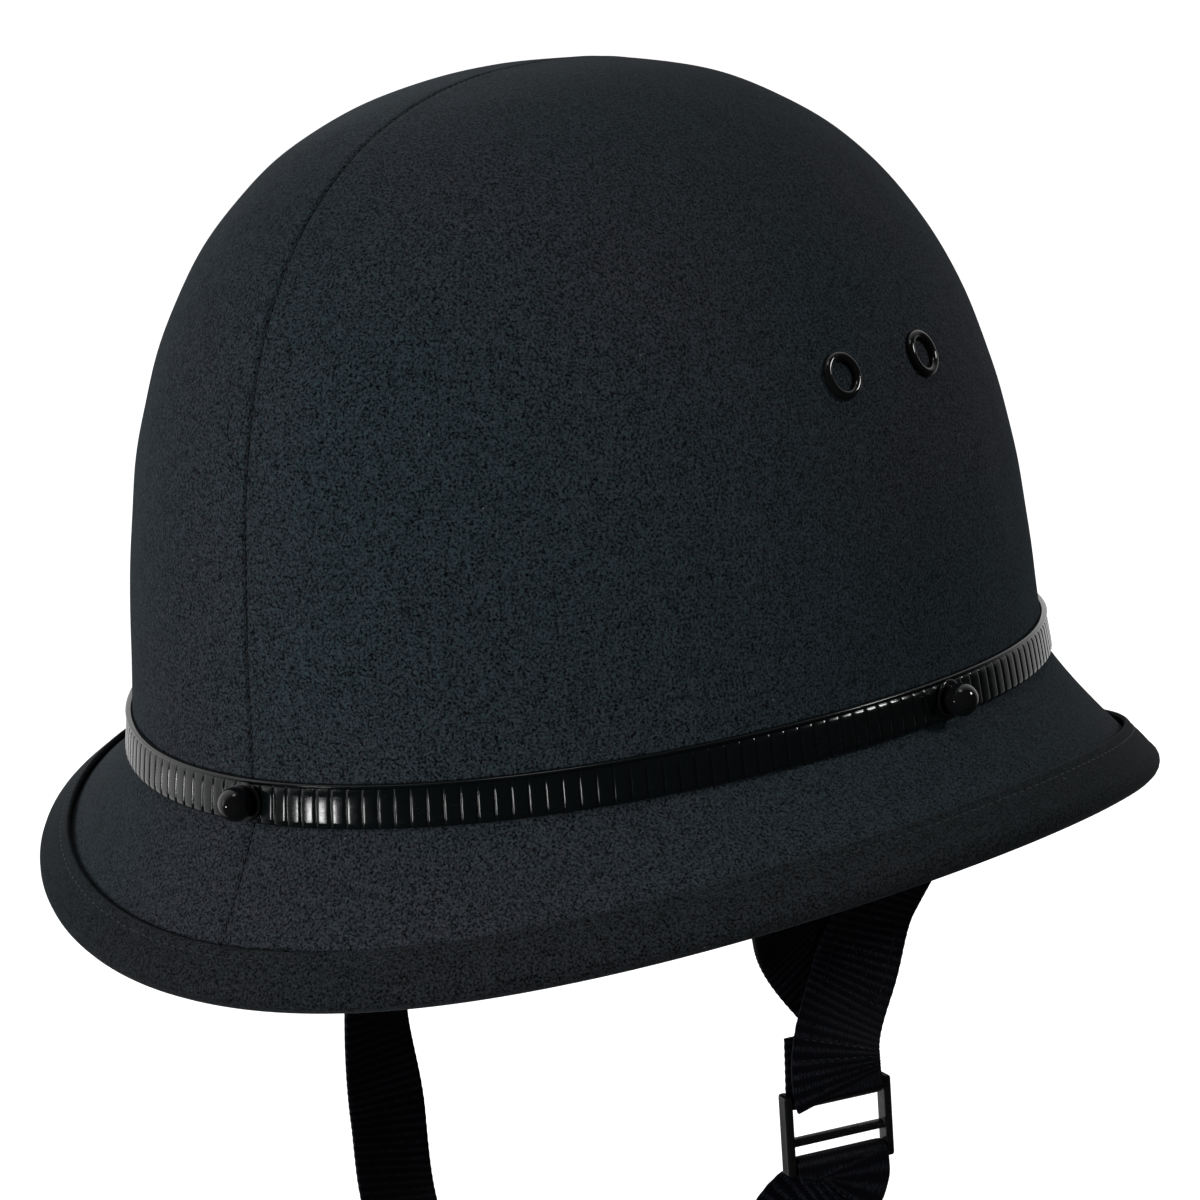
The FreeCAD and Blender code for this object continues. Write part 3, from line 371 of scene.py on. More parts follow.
def wool(name, warm, cool, grain=0.72, sheen=0.05):
    """Dense milled wool: fine mixed fibres, a soft nap, faint shade changes and a few pale fibres."""
    p = Paint(name)
    fibre = p.noise(0.62, 1.5, 0.8)
    tuft = p.noise(2.6, 2.0, 0.5)
    drift = p.ranged(p.noise(85.0, 1.0, 0.5), 0.35, 0.65, 0.0, 0.6)
    heather = p.ranged(p.noise(0.7, 1.0, 0.5), 0.36, 0.64, 0.0, 0.6)
    base = p.mix(p.math("ADD", drift, heather, clamp=True), warm, cool)
    nap = p.math("ADD", p.math("MULTIPLY", fibre, 0.9), p.math("MULTIPLY", tuft, 0.1))
    gain = p.ranged(nap, 0.36, 0.64, 1.0 - 1.38 * grain, 1.0 + 2.3 * grain)
    lit = p.add("VectorMath", {"operation": "SCALE"}, Scale=gain)
    p.feed(lit.inputs[0], base)
    speck = p.math("LESS_THAN", p.cells(11.0), 0.030)
    p.set(Base_Color=p.mix(p.math("MULTIPLY", speck, 0.6), lit.outputs[0], rgb(0.12, 0.125, 0.13)))
    p.set(Roughness=p.ranged(fibre, 0.3, 0.7, 0.85, 1.0), Specular_IOR_Level=0.12)
    p.set(Sheen_Weight=sheen, Sheen_Roughness=0.5, Sheen_Tint=rgb(0.8, 0.9, 1.0))
    coarse = p.bump(tuft, 0.12, 0.5)
    p.set(Normal=p.bump(fibre, 0.26, 0.9, coarse))
    return p.material


def glossy(name, colour, rough, scratch=0.5, dust=0.12):
    """Gloss black surface with fine scuffs and a little dust."""
    p = Paint(name)
    scuff = p.noise(2.2, 4.0, 0.7, stretch=(1.0, 1.0, 4.0))
    patch = p.noise(14.0, 3.0, 0.6)
    worn = p.math("MULTIPLY", p.ranged(scuff, 0.5, 0.72, 0.0, 1.0), p.ranged(patch, 0.4, 0.7, 0.0, 1.0))
    p.set(Base_Color=p.mix(p.math("MULTIPLY", worn, dust * 4), colour, tint(colour, 3.0, 0.01)))
    p.set(Roughness=p.ranged(worn, 0.0, 1.0, rough, rough + 0.25))
    wavy = p.noise(3.0, 2.0, 0.5)
    p.set(Normal=p.bump(wavy, 0.05, scratch))
    return p.material


def satin(name, colour, rough=0.42, size=0.35):
    """Fine-grained moulded plastic, polished a little where it is handled."""
    p = Paint(name)
    grain = p.noise(size, 2.0, 0.6)
    rub = p.noise(9.0, 3.0, 0.6)
    p.set(Base_Color=p.mix(p.ranged(rub, 0.4, 0.7, 0.0, 0.7), colour, tint(colour, 1.8, 0.004)))
    p.set(Roughness=p.ranged(rub, 0.3, 0.7, rough + 0.08, rough - 0.08))
    p.set(Normal=p.bump(grain, 0.04, 0.5))
    return p.material


def woven(name, colour, pale):
    """Ribbed webbing seen close: warp cords over the ribs, pale on their tops as a painted highlight and dark
    between them as painted shade, shades from yarn to yarn, dulled patches.
    """
    p = Paint(name)
    warp = p.wave(0.9, "X", distortion=0.6)
    weft = p.wave(RIB_PITCH, "Y")
    yarn = p.noise(0.7, 3.0, 0.6, uv=True, stretch=(1.6, 0.7, 1))
    dull = p.noise(22.0, 2.0, 0.5, uv=True)
    # painted light: cord and shade are pale on the tops of the warp cords and ribs, a painted highlight, and
    # dark between them, painted shade; the yarn noise only varies the yarn's own tone
    cord = p.math("MULTIPLY", p.math("ADD", p.math("MULTIPLY", warp, 0.5), 0.5), p.math("POWER", weft, 1.6))
    shade = p.math("MULTIPLY", cord, p.ranged(yarn, 0.38, 0.62, 0.0, 1.5))
    base = p.mix(p.ranged(shade, 0.10, 0.80, 0.0, 1.0), colour, pale)
    p.set(Base_Color=p.mix(p.ranged(dull, 0.4, 0.68, 0.0, 0.6), base, tint(colour, 0.62)))
    p.set(Roughness=p.ranged(yarn, 0.3, 0.7, 0.62, 0.85), Specular_IOR_Level=0.12)
    p.set(Sheen_Weight=0.03, Sheen_Roughness=0.4)
    ribs = p.bump(weft, 0.10, 0.6)
    p.set(Normal=p.bump(p.math("ADD", warp, p.math("MULTIPLY", yarn, 0.6)), 0.07, 0.8, ribs))
    return p.material


def knit(name, colour, pitch=1.1, sheen=0.4):
    """Brushed knitted lining."""
    p = Paint(name)
    loops = p.math("MULTIPLY", p.wave(pitch, "X"), p.wave(pitch * 1.3, "Y"))
    fuzz = p.noise(0.7, 3.0, 0.6)
    worn = p.noise(30.0, 2.0, 0.5)
    pile = p.math("ADD", p.math("MULTIPLY", loops, 0.6), p.math("MULTIPLY", fuzz, 0.5))
    base = p.mix(p.ranged(pile, 0.15, 0.75, 0.0, 1.0), tint(colour, 0.55), tint(colour, 1.9))
    p.set(Base_Color=p.mix(p.ranged(worn, 0.4, 0.65, 0.0, 0.5), base, colour))
    p.set(Roughness=p.ranged(fuzz, 0.3, 0.7, 0.85, 1.0), Sheen_Weight=sheen)
    p.set(Normal=p.bump(fuzz, 0.15, 0.6, p.bump(loops, 0.25, 0.8)))
    return p.material


def leather(name, colour):
    """Smooth dark leather: pebbled grain, creases and patches polished by wear."""
    p = Paint(name)
    pebble = p.cells(1.1, "SMOOTH_F1")
    crease = p.noise(6.0, 4.0, 0.6)
    rub = p.noise(28.0, 2.0, 0.5)
    base = p.mix(p.ranged(pebble, 0.1, 0.7, 0.0, 1.0), tint(colour, 1.7), colour)
    p.set(Base_Color=p.mix(p.ranged(crease, 0.42, 0.7, 0.0, 0.8), base, tint(colour, 0.45)))
    p.set(Roughness=p.ranged(rub, 0.3, 0.7, 0.35, 0.6))
    p.set(Normal=p.bump(pebble, 0.12, 0.6, p.bump(crease, 0.3, 0.5)))
    return p.material


def foam(name, colour):
    """Expanded bead foam: rounded cells pressed together."""
    p = Paint(name)
    bead = p.cells(3.2, "SMOOTH_F1")
    joint = p.cells(3.2, "DISTANCE_TO_EDGE")
    fine = p.noise(0.8, 3.0, 0.6)
    base = p.mix(p.ranged(fine, 0.3, 0.7, 0.0, 1.0), colour, tint(colour, 1.8))
    p.set(Base_Color=p.mix(p.ranged(joint, 0.0, 0.08, 1.0, 0.0), base, tint(colour, 0.4)))
    p.set(Roughness=p.ranged(fine, 0.3, 0.7, 0.55, 0.8))
    p.set(Normal=p.bump(bead, 0.5, 0.7))
    return p.material


def plated(name, colour):
    """Plain plated steel with fine turning marks and dulled patches."""
    p = Paint(name)
    lines = p.noise(0.4, 2.0, 0.6, stretch=(6.0, 0.6, 1.0))
    dull = p.noise(5.0, 3.0, 0.6)
    p.set(Base_Color=p.mix(p.ranged(dull, 0.4, 0.7, 0.0, 0.8), colour, tint(colour, 0.55)))
    p.set(Roughness=p.ranged(dull, 0.3, 0.7, 0.3, 0.5), Metallic=1.0)
    p.set(Normal=p.bump(lines, 0.03, 0.5))
    return p.material


def thread(name, colour):
    """Twisted sewing thread."""
    p = Paint(name)
    twist = p.noise(0.3, 2.0, 0.5, stretch=(1.0, 1.0, 2.5))
    p.set(Base_Color=p.mix(p.ranged(twist, 0.35, 0.65, 0.0, 1.0), colour, tint(colour, 2.2)))
    p.set(Roughness=p.ranged(twist, 0.3, 0.7, 0.5, 0.75))
    p.set(Normal=p.bump(twist, 0.05, 0.8))
    return p.material


crown_wool = wool("crown_wool", rgb(0.0190, 0.0188, 0.0232), rgb(0.0120, 0.0196, 0.0226))
brim_wool = wool("brim_wool", rgb(0.0190, 0.0190, 0.0232), rgb(0.0132, 0.0202, 0.0232))
binding_wool = wool("binding_wool", rgb(0.0110, 0.0115, 0.0134), rgb(0.0092, 0.0122, 0.0135))
underside_cloth = wool("underside_cloth", rgb(0.016, 0.017, 0.018), rgb(0.014, 0.016, 0.017),
                       grain=0.4, sheen=0.04)
band_gloss = glossy("band_gloss", rgb(0.0020, 0.0032, 0.0036), 0.15, scratch=0.25, dust=0.06)
enamel = glossy("enamel", rgb(0.0040, 0.0042, 0.0045), 0.07, scratch=0.2, dust=0.05)
slider_gloss = glossy("slider_gloss", rgb(0.0045, 0.0047, 0.0052), 0.20)
buckle_satin = satin("buckle_satin", rgb(0.0080, 0.0085, 0.0090), 0.38)
keeper_rubber = satin("keeper_rubber", rgb(0.010, 0.010, 0.010), 0.62, 0.5)
shell_plastic = satin("shell_plastic", rgb(0.020, 0.020, 0.020), 0.6, 0.8)
board_fibre = satin("board_fibre", rgb(0.040, 0.036, 0.030), 0.75, 0.9)
# the second, pale colour is the painted highlight on the tops of the webbing's ribs
strap_weave_painted_highlights = woven("strap_weave_painted_highlights", rgb(0.0014, 0.0016, 0.0028), rgb(0.0150, 0.0160, 0.0220))
lining_knit = knit("lining_knit", rgb(0.020, 0.021, 0.022))
pad_knit = knit("pad_knit", rgb(0.026, 0.027, 0.029), 1.6, 0.5)
sweat_leather = leather("sweat_leather", rgb(0.040, 0.025, 0.017))
bead_foam = foam("bead_foam", rgb(0.030, 0.030, 0.032))
steel = plated("steel", rgb(0.50, 0.50, 0.51))
dark_thread = thread("dark_thread", rgb(0.010, 0.012, 0.013))
seam_thread = thread("seam_thread", rgb(0.004, 0.005, 0.006))
strap_thread = thread("strap_thread", rgb(0.0022, 0.0024, 0.0030))


def dress(obj, material, body, node):
    obj.data.materials.append(material)
    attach(obj, body)
    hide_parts(node)


# ---------------------------------------------------------------- crown and brim covers

COVER = 1.2
COVER_EDGE = 0.4
SEAM_PITCH = 2.15
SEAM_STITCH = 1.35
HALVES = {"left": (0.0, math.pi), "right": (math.pi, TAU)}


def seam_sink(points, depth):
    """How far the cloth draws in beside the centre seam, from its distance to the plane X = 0."""
    gap = np.abs(points[..., 0])
    return depth * np.exp(-(gap / 0.5) ** 2) - 0.10 * np.exp(-((gap - 2.4) / 1.6) ** 2)


for side, (start, end) in HALVES.items():
    phi = dense_ends(250, start, end)[:, None]
    u = (np.linspace(0.0, 1.0, 150) ** 1.12 * level(COVER_EDGE))[None, :]
    base = crown(phi, u, 0.0)
    drawn = seam_sink(base, 0.80)
    uneven = 0.10 * even_noise(base, 26.0, SEED)
    outer = crown(phi, u, 0.08 + np.clip(drawn - uneven, -0.3, 1.0))
    inner = crown(phi, u, COVER)
    obj = piece("crown_cloth_" + side, slab(outer, inner))
    dress(obj, crown_wool, "helmet", "crown_cover_" + side)

    k = np.linspace(0.0, 1.0, 40)[None, :]
    phi = dense_ends(300, start, end)[:, None]
    top = brim(phi, k, 0.0)
    drawn = np.clip(seam_sink(top, 0.55), -0.12, 1.0)
    outer = brim(phi, k, -0.12 - drawn + 0.10 * even_noise(top, 30.0, SEED + 1))
    inner = brim(phi, k, -COVER)
    obj = piece("brim_cloth_" + side, slab(outer, inner))
    dress(obj, brim_wool, "helmet", "brim_cover_" + side)


def stitches(name, centres, along, normals, length, radius, material, body=None, slot=None):
    """Small thread stitches lying on a surface, all in one object."""
    rings, sides = 5, 6
    t = np.linspace(-1.0, 1.0, rings)
    swell = np.sqrt(np.maximum(0.0, 1 - t ** 4)) * 0.92 + 0.08
    angle = np.linspace(0.0, TAU, sides, endpoint=False)
    across = unit(np.cross(normals, along))
    count = len(centres)
    grid = (centres[:, None, None]
            + along[:, None, None] * (t * length / 2)[None, :, None, None]
            + across[:, None, None] * (np.cos(angle)[None, :] * swell[:, None] * radius)[None, :, :, None]
            + normals[:, None, None] * (np.sin(angle)[None, :] * swell[:, None] * radius)[None, :, :, None])
    points = grid.reshape(-1, 3)
    faces = []
    for c in range(count):
        first = c * rings * sides
        for r in range(rings - 1):
            for s in range(sides):
                a, b = first + r * sides + s, first + r * sides + (s + 1) % sides
                faces.append((a, b, b + sides, a + sides))
        faces.append(tuple(first + s for s in reversed(range(sides))))
        faces.append(tuple(first + (rings - 1) * sides + s for s in range(sides)))
    mesh = bpy.data.meshes.new(name)
    mesh.from_pydata((points * MM).tolist(), [], faces)
    mesh.polygons.foreach_set("use_smooth", [True] * len(faces))
    obj = add_object(name, mesh)
    obj.data.materials.append(material)
    if body is not None:
        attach(obj, body)
    return obj


def spaced(path, pitch):
    """Even stations along a dense path: points and directions."""
    travel = travels(path)
    at = np.arange(0.0, travel[-1], pitch)
    step = 0.2
    run = at_travel(path, travel, at + step) - at_travel(path, travel, at - step)
    return at_travel(path, travel, at), unit(run)


def brim_normal(phi, k):
    normal = brim_profile(phi, k)[1]
    return unit(outward(phi) * normal[0][:, None] + UP * normal[1][:, None])


# the crown's seam runs up the front, over the top and down the back
rows = np.linspace(1.0, 0.0, 400)
paths, path_normals = [], []
for phi0, u in ((0.0, rows[20:-2]), (math.pi, rows[::-1][2:-20])):
    turn = np.full_like(u, phi0)
    paths.append(crown(turn, u, 0.45))
    path_normals.append(crown_normal(turn, u))
seam_path = np.concatenate(paths)
centres, along = spaced(seam_path, SEAM_PITCH)
nearest = np.linalg.norm(seam_path[None] - centres[:, None], axis=2).argmin(axis=1)
normals = np.concatenate(path_normals)[nearest]
stitches("crown_seam_stitches", centres, along, normals, SEAM_STITCH, 0.24, seam_thread,
         "helmet", "crown_cloth")

SEAM_FROM, SEAM_TO = 0.02, 0.76
for label, phi0 in (("front", 0.0), ("rear", math.pi)):
    path = brim(np.full(120, phi0), np.linspace(SEAM_FROM, SEAM_TO, 120), -0.42)
    centres, along = spaced(path, SEAM_PITCH)
    count = len(centres)
    normals = brim_normal(np.full(count, phi0), np.linspace(SEAM_FROM, SEAM_TO, count))
    stitches(label + "_brim_seam_stitches", centres, along, normals, SEAM_STITCH, 0.22, seam_thread,
             "helmet", "brim_cloth")

# ---------------------------------------------------------------- binding

BINDING_CENTRE = -2.35
RIM_OUTSIDE, RIM_INSIDE = 3.9, 2.4
TOP = BINDING_CENTRE + RIM_OUTSIDE
FLANGE = 9.75
FOLD = 0.72
RETURN, RETURN_FOLD = 6.3, 0.7
# the top flange from its fold to the rim: how far back from the rim, and how proud
TOP_FLANGE = [(9.0, 0.02), (8.1, -0.16), (7.5, -0.22), (6.6, -0.06), (5.2, 0.08), (3.8, 0.10), (2.4, 0.06),
              (1.0, 0.0)]
STITCH_BACK = 7.45
STITCH_PITCH = 3.0
phi = np.linspace(0.0, TAU, 721)


def binding_point(phi, back, height):
    """Point beside the rim: back is how far in from it, height square to the brim's top face."""
    length = brim_profile(phi, np.ones_like(phi))[3]
    return brim(phi, 1 - back / length, height)


def binding_edge(phi, radius, angle):
    """Point on the roll round the rim, at an angle from square above the brim."""
    point, normal, tangent, _ = brim_profile(phi, np.ones_like(phi))
    over = BINDING_CENTRE + radius * math.cos(angle)
    out = radius * math.sin(angle)
    return flare(phi, point[0] + normal[0] * over + tangent[0] * out,
                 point[1] + normal[1] * over + tangent[1] * out)


puff = 0.5 + 0.5 * even_noise(brim(phi, np.ones_like(phi), 0.0), 60.0, SEED + 2)
lift = 0.18 + 0.30 * np.clip(puff, 0, 1) + 0.35 * np.exp(-((np.sin(phi) - 1) / 0.6) ** 2)
section = []
# inner edge of the top flange: a rolled fold that stands proud, then the flange, the rim and the return
for angle in np.linspace(-math.pi / 2, math.pi / 2, 7):
    height = 0.05 + lift + FOLD + FOLD * math.sin(angle)
    section.append(binding_point(phi, FLANGE + FOLD * math.cos(angle), height))
for back, rise in TOP_FLANGE:
    fade = (back - 1.0) / 8.0
    section.append(binding_point(phi, back, TOP + rise + (lift - 0.02) * fade * 0.9))
for angle in np.linspace(0.0, math.pi, 11):
    section.append(binding_edge(phi, RIM_OUTSIDE, angle))
for back in (1.5, 3.2, 4.9, 6.2):
    section.append(binding_point(phi, back, BINDING_CENTRE - RIM_OUTSIDE))
for angle in np.linspace(-math.pi / 2, math.pi / 2, 5):
    height = BINDING_CENTRE - RIM_OUTSIDE + RETURN_FOLD + RETURN_FOLD * math.sin(angle)
    section.append(binding_point(phi, RETURN + RETURN_FOLD * math.cos(angle), height))
for back in (4.9, 3.2, 1.5):
    section.append(binding_point(phi, back, BINDING_CENTRE - RIM_OUTSIDE + 2 * RETURN_FOLD))
for angle in np.linspace(math.pi, 0.0, 9):
    section.append(binding_edge(phi, RIM_INSIDE, angle))
for back in (1.5, 3.5, 5.5, 7.5, 9.0):
    section.append(binding_point(phi, back, 0.06 + lift * (back / FLANGE) ** 2))
section.append(section[0])
obj = piece("brim_edge_binding", [np.stack(section, axis=1)])
dress(obj, binding_wool, "helmet", "brim_binding")

line = binding_point(phi, STITCH_BACK, TOP - 0.16 + (lift - 0.02) * 0.72)
centres, along = spaced(line, STITCH_PITCH)
turn = np.interp(np.arange(len(centres)) * STITCH_PITCH, travels(line), phi)
normals = brim_normal(turn, np.ones_like(turn))
stitches("binding_stitches", centres, along, normals, 2.1, 0.2, dark_thread, "helmet", "binding_cloth")

# ---------------------------------------------------------------- underside of the brim

phi = np.linspace(0.0, TAU, 481)[:, None]
k = np.linspace(0.0, 1.0, 26)[None, :]
turn, at_crown = phi[:, 0], np.zeros(481)
lip_high = wall(turn, 0.0, 6.7)
lip_high[:, 2] = flare(turn, at_crown, -3.7 * brim_profile(turn, at_crown)[1][1])[:, 2]
lip_low = lip_high - UP
ripple = 0.12 * even_noise(brim(phi, k, 0.0), 22.0, SEED + 3) * np.sin(math.pi * k)
upper = np.concatenate([lip_high[:, None], brim(phi, k, -3.75)], axis=1)
lower = np.concatenate([lip_low[:, None], brim(phi, k, -4.6 + np.clip(ripple, -0.1, 0.2))], axis=1)
obj = piece("under_brim_cloth", ring_slab(upper, lower))
dress(obj, underside_cloth, "helmet", "under_brim_lining")

# ---------------------------------------------------------------- ribbed band

RIBS = 190
# one rib's width, in shares of the pitch: a nearly flat facet between two narrow grooves
RIB_STATIONS = np.array([0.0, 0.05, 0.10, 0.17, 0.28, 0.42, 0.58, 0.72, 0.83, 0.90, 0.95])
BAND_MIDDLE = 5.0
# up the band's outer face: height, depth off the crown, and how far a rib stands out; a fine roll tops it
BAND_SECTION = [(0.0, 0.9, 0.0), (0.12, 1.30, 0.30), (0.6, 1.62, 0.44), (1.6, 1.62, 0.42), (3.5, 1.52, 0.40),
                (5.5, 1.40, 0.38), (7.2, 1.28, 0.36), (8.3, 1.18, 0.30), (8.8, 1.05, 0.14), (9.05, 1.0, 0.0),
                (9.15, 1.25, 0.0), (9.35, 1.6, 0.0), (9.7, 1.78, 0.0), (10.0, 1.62, 0.0), (10.18, 1.25, 0.0),
                (10.2, 0.6, 0.0)]
fine = np.linspace(0.0, TAU, 7201)
travel = travels(wall(fine, BAND_MIDDLE, -1.5))
place = np.append((np.arange(RIBS)[:, None] + RIB_STATIONS).ravel() / RIBS, 1.0)
phi = np.interp(place * travel[-1], travel, fine)
across = np.append(np.tile(RIB_STATIONS, RIBS), 0.0)
groove = np.exp(-(np.minimum(across, 1 - across) / 0.07) ** 2)
ridge = (1 - groove) * (1 - 0.16 * (2 * across - 1) ** 2)
outer = [wall(phi, z, -(0.05 + depth + rib * ridge)) for z, depth, rib in BAND_SECTION]
inner = [wall(phi, z, -0.05) for z in (10.2, 6.0, 2.0, 0.0)]
obj = piece("hat_band_ribbed", [np.stack(outer + inner + [outer[0]], axis=1)])
dress(obj, band_gloss, "helmet", "ribbed_band")

# ---------------------------------------------------------------- turned pieces


def lathe(profile, origin, axis, segments=72):
    """Grid of a profile of (radius, height) turned about an axis."""
    axis = unit(np.asarray(axis, float))
    side = unit(np.cross(UP, axis))
    other = np.cross(axis, side)
    angle = np.linspace(0.0, TAU, segments + 1)
    profile = np.asarray(profile, float)
    ring = side * np.cos(angle)[:, None] + other * np.sin(angle)[:, None]
    return origin + ring[:, None] * profile[None, :, 0, None] + axis * profile[None, :, 1, None]


def arc(centre, radius, start, end, count):
    angle = np.radians(np.linspace(start, end, count))
    return [(centre[0] + radius * math.cos(a), centre[1] + radius * math.sin(a)) for a in angle]


def seat(phi0, z, inset):
    """Point at height z in the crown's thickness, and the direction out of the crown there."""
    at = np.array([phi0])
    u = np.array([level(z)])
    return crown(at, u, inset)[0], crown_normal(at, u)[0]


STUD_PROFILE = ([(0.0, -2.0), (1.5, -2.0), (1.5, 0.0), (4.45, 0.0)]
                + arc((4.45, 0.35), 0.35, -90, 60, 5) + [(4.0, 0.72), (3.2, 0.62), (2.8, 0.60)]
                + arc((0.0, 3.85), 4.15, -52, 90, 30))
for quarter, side in enumerate(("front", "left", "rear", "right")):
    name = side + "_band_stud"
    obj = piece(name + "_ball", [lathe(STUD_PROFILE, *seat(quarter * TAU / 4, BAND_MIDDLE, -2.1))])
    dress(obj, enamel, "helmet", name)

VENT_HEIGHT = 85.3
EYELET_PROFILE = ([(3.5, -5.1), (4.2, -5.1), (4.2, 0.05), (5.3, 0.05)] + arc((4.85, 0.46), 1.15, -20, 180, 20)
                  + [(3.5, -0.6), (3.5, -5.1)])


def vent_phi(y):
    """Direction at which the vent row's height has this y, on the wearer's left."""
    choices = np.radians(np.linspace(60, 120, 6001))
    row = crown_surface(choices, np.full_like(choices, level(VENT_HEIGHT)))
    return float(choices[np.abs(row[:, 1] - y).argmin()])


vents = [vent_phi(-12.3), vent_phi(21.3)]
for side, sign in (("left", 1), ("right", -1)):
    grids = [lathe(EYELET_PROFILE, *seat(sign * phi0, VENT_HEIGHT, -0.05), 56) for phi0 in vents]
    obj = piece("vent_rings_" + side, grids)
    dress(obj, enamel, "helmet", "vent_eyelets_" + side)

# ---------------------------------------------------------------- inside of the crown

LINING_EDGE = 33.0
phi = np.linspace(0.0, TAU, 241)[:, None]
u = np.linspace(level(LINING_EDGE), 0.0, 60)[None, :]
gore = 0.10 * np.abs(np.cos(2 * phi)) ** 0.5
inner = crown(phi, u, 21.1 + gore * np.sin(math.pi * u))
obj = piece("crown_lining_cloth", ring_slab(crown(phi, u, 20.4), inner))
dress(obj, lining_knit, "helmet", "crown_lining")

PAD_INSET = 21.45
PAD_REACH = 0.455
s = np.linspace(0.0, 1.0, 60)[None, :]
sector = np.abs(np.cos(3 * phi)) ** 0.35
radial = np.clip(s / 0.16, 0, 1) ** 0.6 * np.clip((1 - s) / 0.10, 0, 1) ** 0.5
ringed = 1 - 0.55 * np.exp(-((s - 0.5) / 0.045) ** 2)
thick = 1.2 + 6.6 * radial * (0.35 + 0.65 * sector) * ringed
u = s * PAD_REACH
obj = piece("comfort_pad", ring_slab(crown(phi, u, PAD_INSET), crown(phi, u, PAD_INSET + thick)))
dress(obj, pad_knit, "helmet", "crown_comfort_pad")

# head band padding, as heights and insets: its back against the liner, then its quilted face
PADDING_BACK = [(-2.6, 20.5), (4.0, 20.4), (12.0, 20.4), (20.0, 20.4), (27.0, 20.4), (29.6, 21.2)]
PADDING_FACE = [(30.0, 23.0), (28.6, 25.2), (25.0, 26.5), (19.0, 26.7), (12.0, 26.75), (5.0, 26.6),
                (0.5, 26.0), (-2.4, 24.0)]
phi = np.linspace(0.0, TAU, 721)
channel = np.abs(np.sin(6 * phi)) ** 0.3
section = [wall(phi, z, inset) for z, inset in PADDING_BACK]
for z, full in PADDING_FACE:
    section.append(wall(phi, z, full - (1 - channel) * (full - 21.5) * 0.45))
section.append(section[0])
obj = piece("headband_pad", [np.stack(section, axis=1)])
dress(obj, pad_knit, "helmet", "headband_padding")

# sweatband: down its back, out and in round the sewn flange, then up its face, which waves a little
SWEAT_BACK = [(26.0, 27.15), (18.0, 27.15), (8.0, 27.15), (0.0, 27.15), (-4.0, 27.15), (-4.0, 20.0),
              (-4.0, 11.6), (-4.5, 11.3), (-5.1, 11.8), (-5.2, 20.0), (-5.1, 27.4), (-4.3, 28.15)]
SWEAT_FACE = [(0.0, 28.25), (8.0, 28.3), (18.0, 28.3), (25.3, 28.25), (26.1, 27.9), (26.3, 27.5)]
phi = np.linspace(0.0, TAU, 481)
wave = 0.006 * np.sin(9 * phi)
section = [wall(phi, z, inset) for z, inset in SWEAT_BACK]
section += [wall(phi, z, inset + wave) for z, inset in SWEAT_FACE]
section.append(section[0])
obj = piece("sweatband_leather", [np.stack(section, axis=1)])
dress(obj, sweat_leather, "helmet", "sweatband")
centres, along = spaced(wall(phi, -5.2, 13.4), 3.6)
normals = np.tile(DOWN, (len(centres), 1))
stitches("sweatband_stitches", centres, along, normals, 2.6, 0.26, dark_thread, "helmet", "sweat_leather")

# ---------------------------------------------------------------- webbing

STATION_PITCH = 0.3
STITCH_LIFT = 0.66


def spline(points, at, wanted):
    """Points and directions at the wanted travels of a smooth curve through points, whose travels are at."""
    points, at = np.asarray(points, float), np.asarray(at, float)
    n = len(points)
    ends = []
    for order in (list(range(min(4, n))), list(range(n - 1, n - 1 - min(4, n), -1))):
        x0 = at[order[0]]
        slope = np.zeros(3)
        for i in order:
            others = [j for j in order if j != i]
            bottom = np.prod([at[i] - at[j] for j in others])
            top = sum(np.prod([x0 - at[j] for j in others if j != skip]) for skip in others)
            slope += points[i] * top / bottom
        ends.append(slope)
    matrix, right = np.zeros((n, n)), np.zeros((n, 3))
    matrix[0, 0] = matrix[-1, -1] = 1.0
    right[0], right[-1] = ends
    h = np.diff(at)
    for i in range(1, n - 1):
        before, after = h[i - 1], h[i]
        matrix[i, i - 1:i + 2] = after, 2 * (before + after), before
        rise = after * (points[i] - points[i - 1]) / before + before * (points[i + 1] - points[i]) / after
        right[i] = 3 * rise
    slopes = np.linalg.solve(matrix, right)
    i = np.clip(np.searchsorted(at, wanted, side="right") - 1, 0, n - 2)
    width = h[i][:, None]
    t = ((wanted - at[i]) / h[i])[:, None]
    a, b, c, d = points[i], slopes[i] * width, points[i + 1], slopes[i + 1] * width
    value = (a * (2 * t ** 3 - 3 * t ** 2 + 1) + b * (t ** 3 - 2 * t ** 2 + t)
             + c * (3 * t ** 2 - 2 * t ** 3) + d * (t ** 3 - t ** 2))
    slope = (a * (6 * t ** 2 - 6 * t) + b * (3 * t ** 2 - 4 * t + 1) + c * (6 * t - 6 * t ** 2)
             + d * (3 * t ** 2 - 2 * t)) / width
    return value, unit(slope)


def smooth(points, normals):
    """Stations (point, tangent, normal) along the curve through the points."""
    points, normals = np.array(points, float), np.array(normals, float)
    at = travels(points)
    wanted = np.linspace(0.0, at[-1], max(4, int(at[-1] / STATION_PITCH)) + 1)
    value, tangent = spline(points, at, wanted)
    i = np.clip(np.searchsorted(at, wanted + 1e-9, side="right") - 1, 0, len(points) - 2)
    t = ((wanted - at[i]) / np.diff(at)[i])[:, None]
    t = t * t * (3 - 2 * t)
    normal = normals[i] * (1 - t) + normals[i + 1] * t
    normal = normal - tangent * np.sum(normal * tangent, axis=1, keepdims=True)
    return value, tangent, unit(normal)


def fold(bar, towards, face, radius):
    """Half turn of webbing round a bar: it starts on the face side and sets off the way of towards."""
    angle = np.linspace(0.0, math.pi, 28)[:, None]
    radial = face * np.cos(angle) + towards * np.sin(angle)
    return bar + radial * radius, towards * np.cos(angle) - face * np.sin(angle), radial


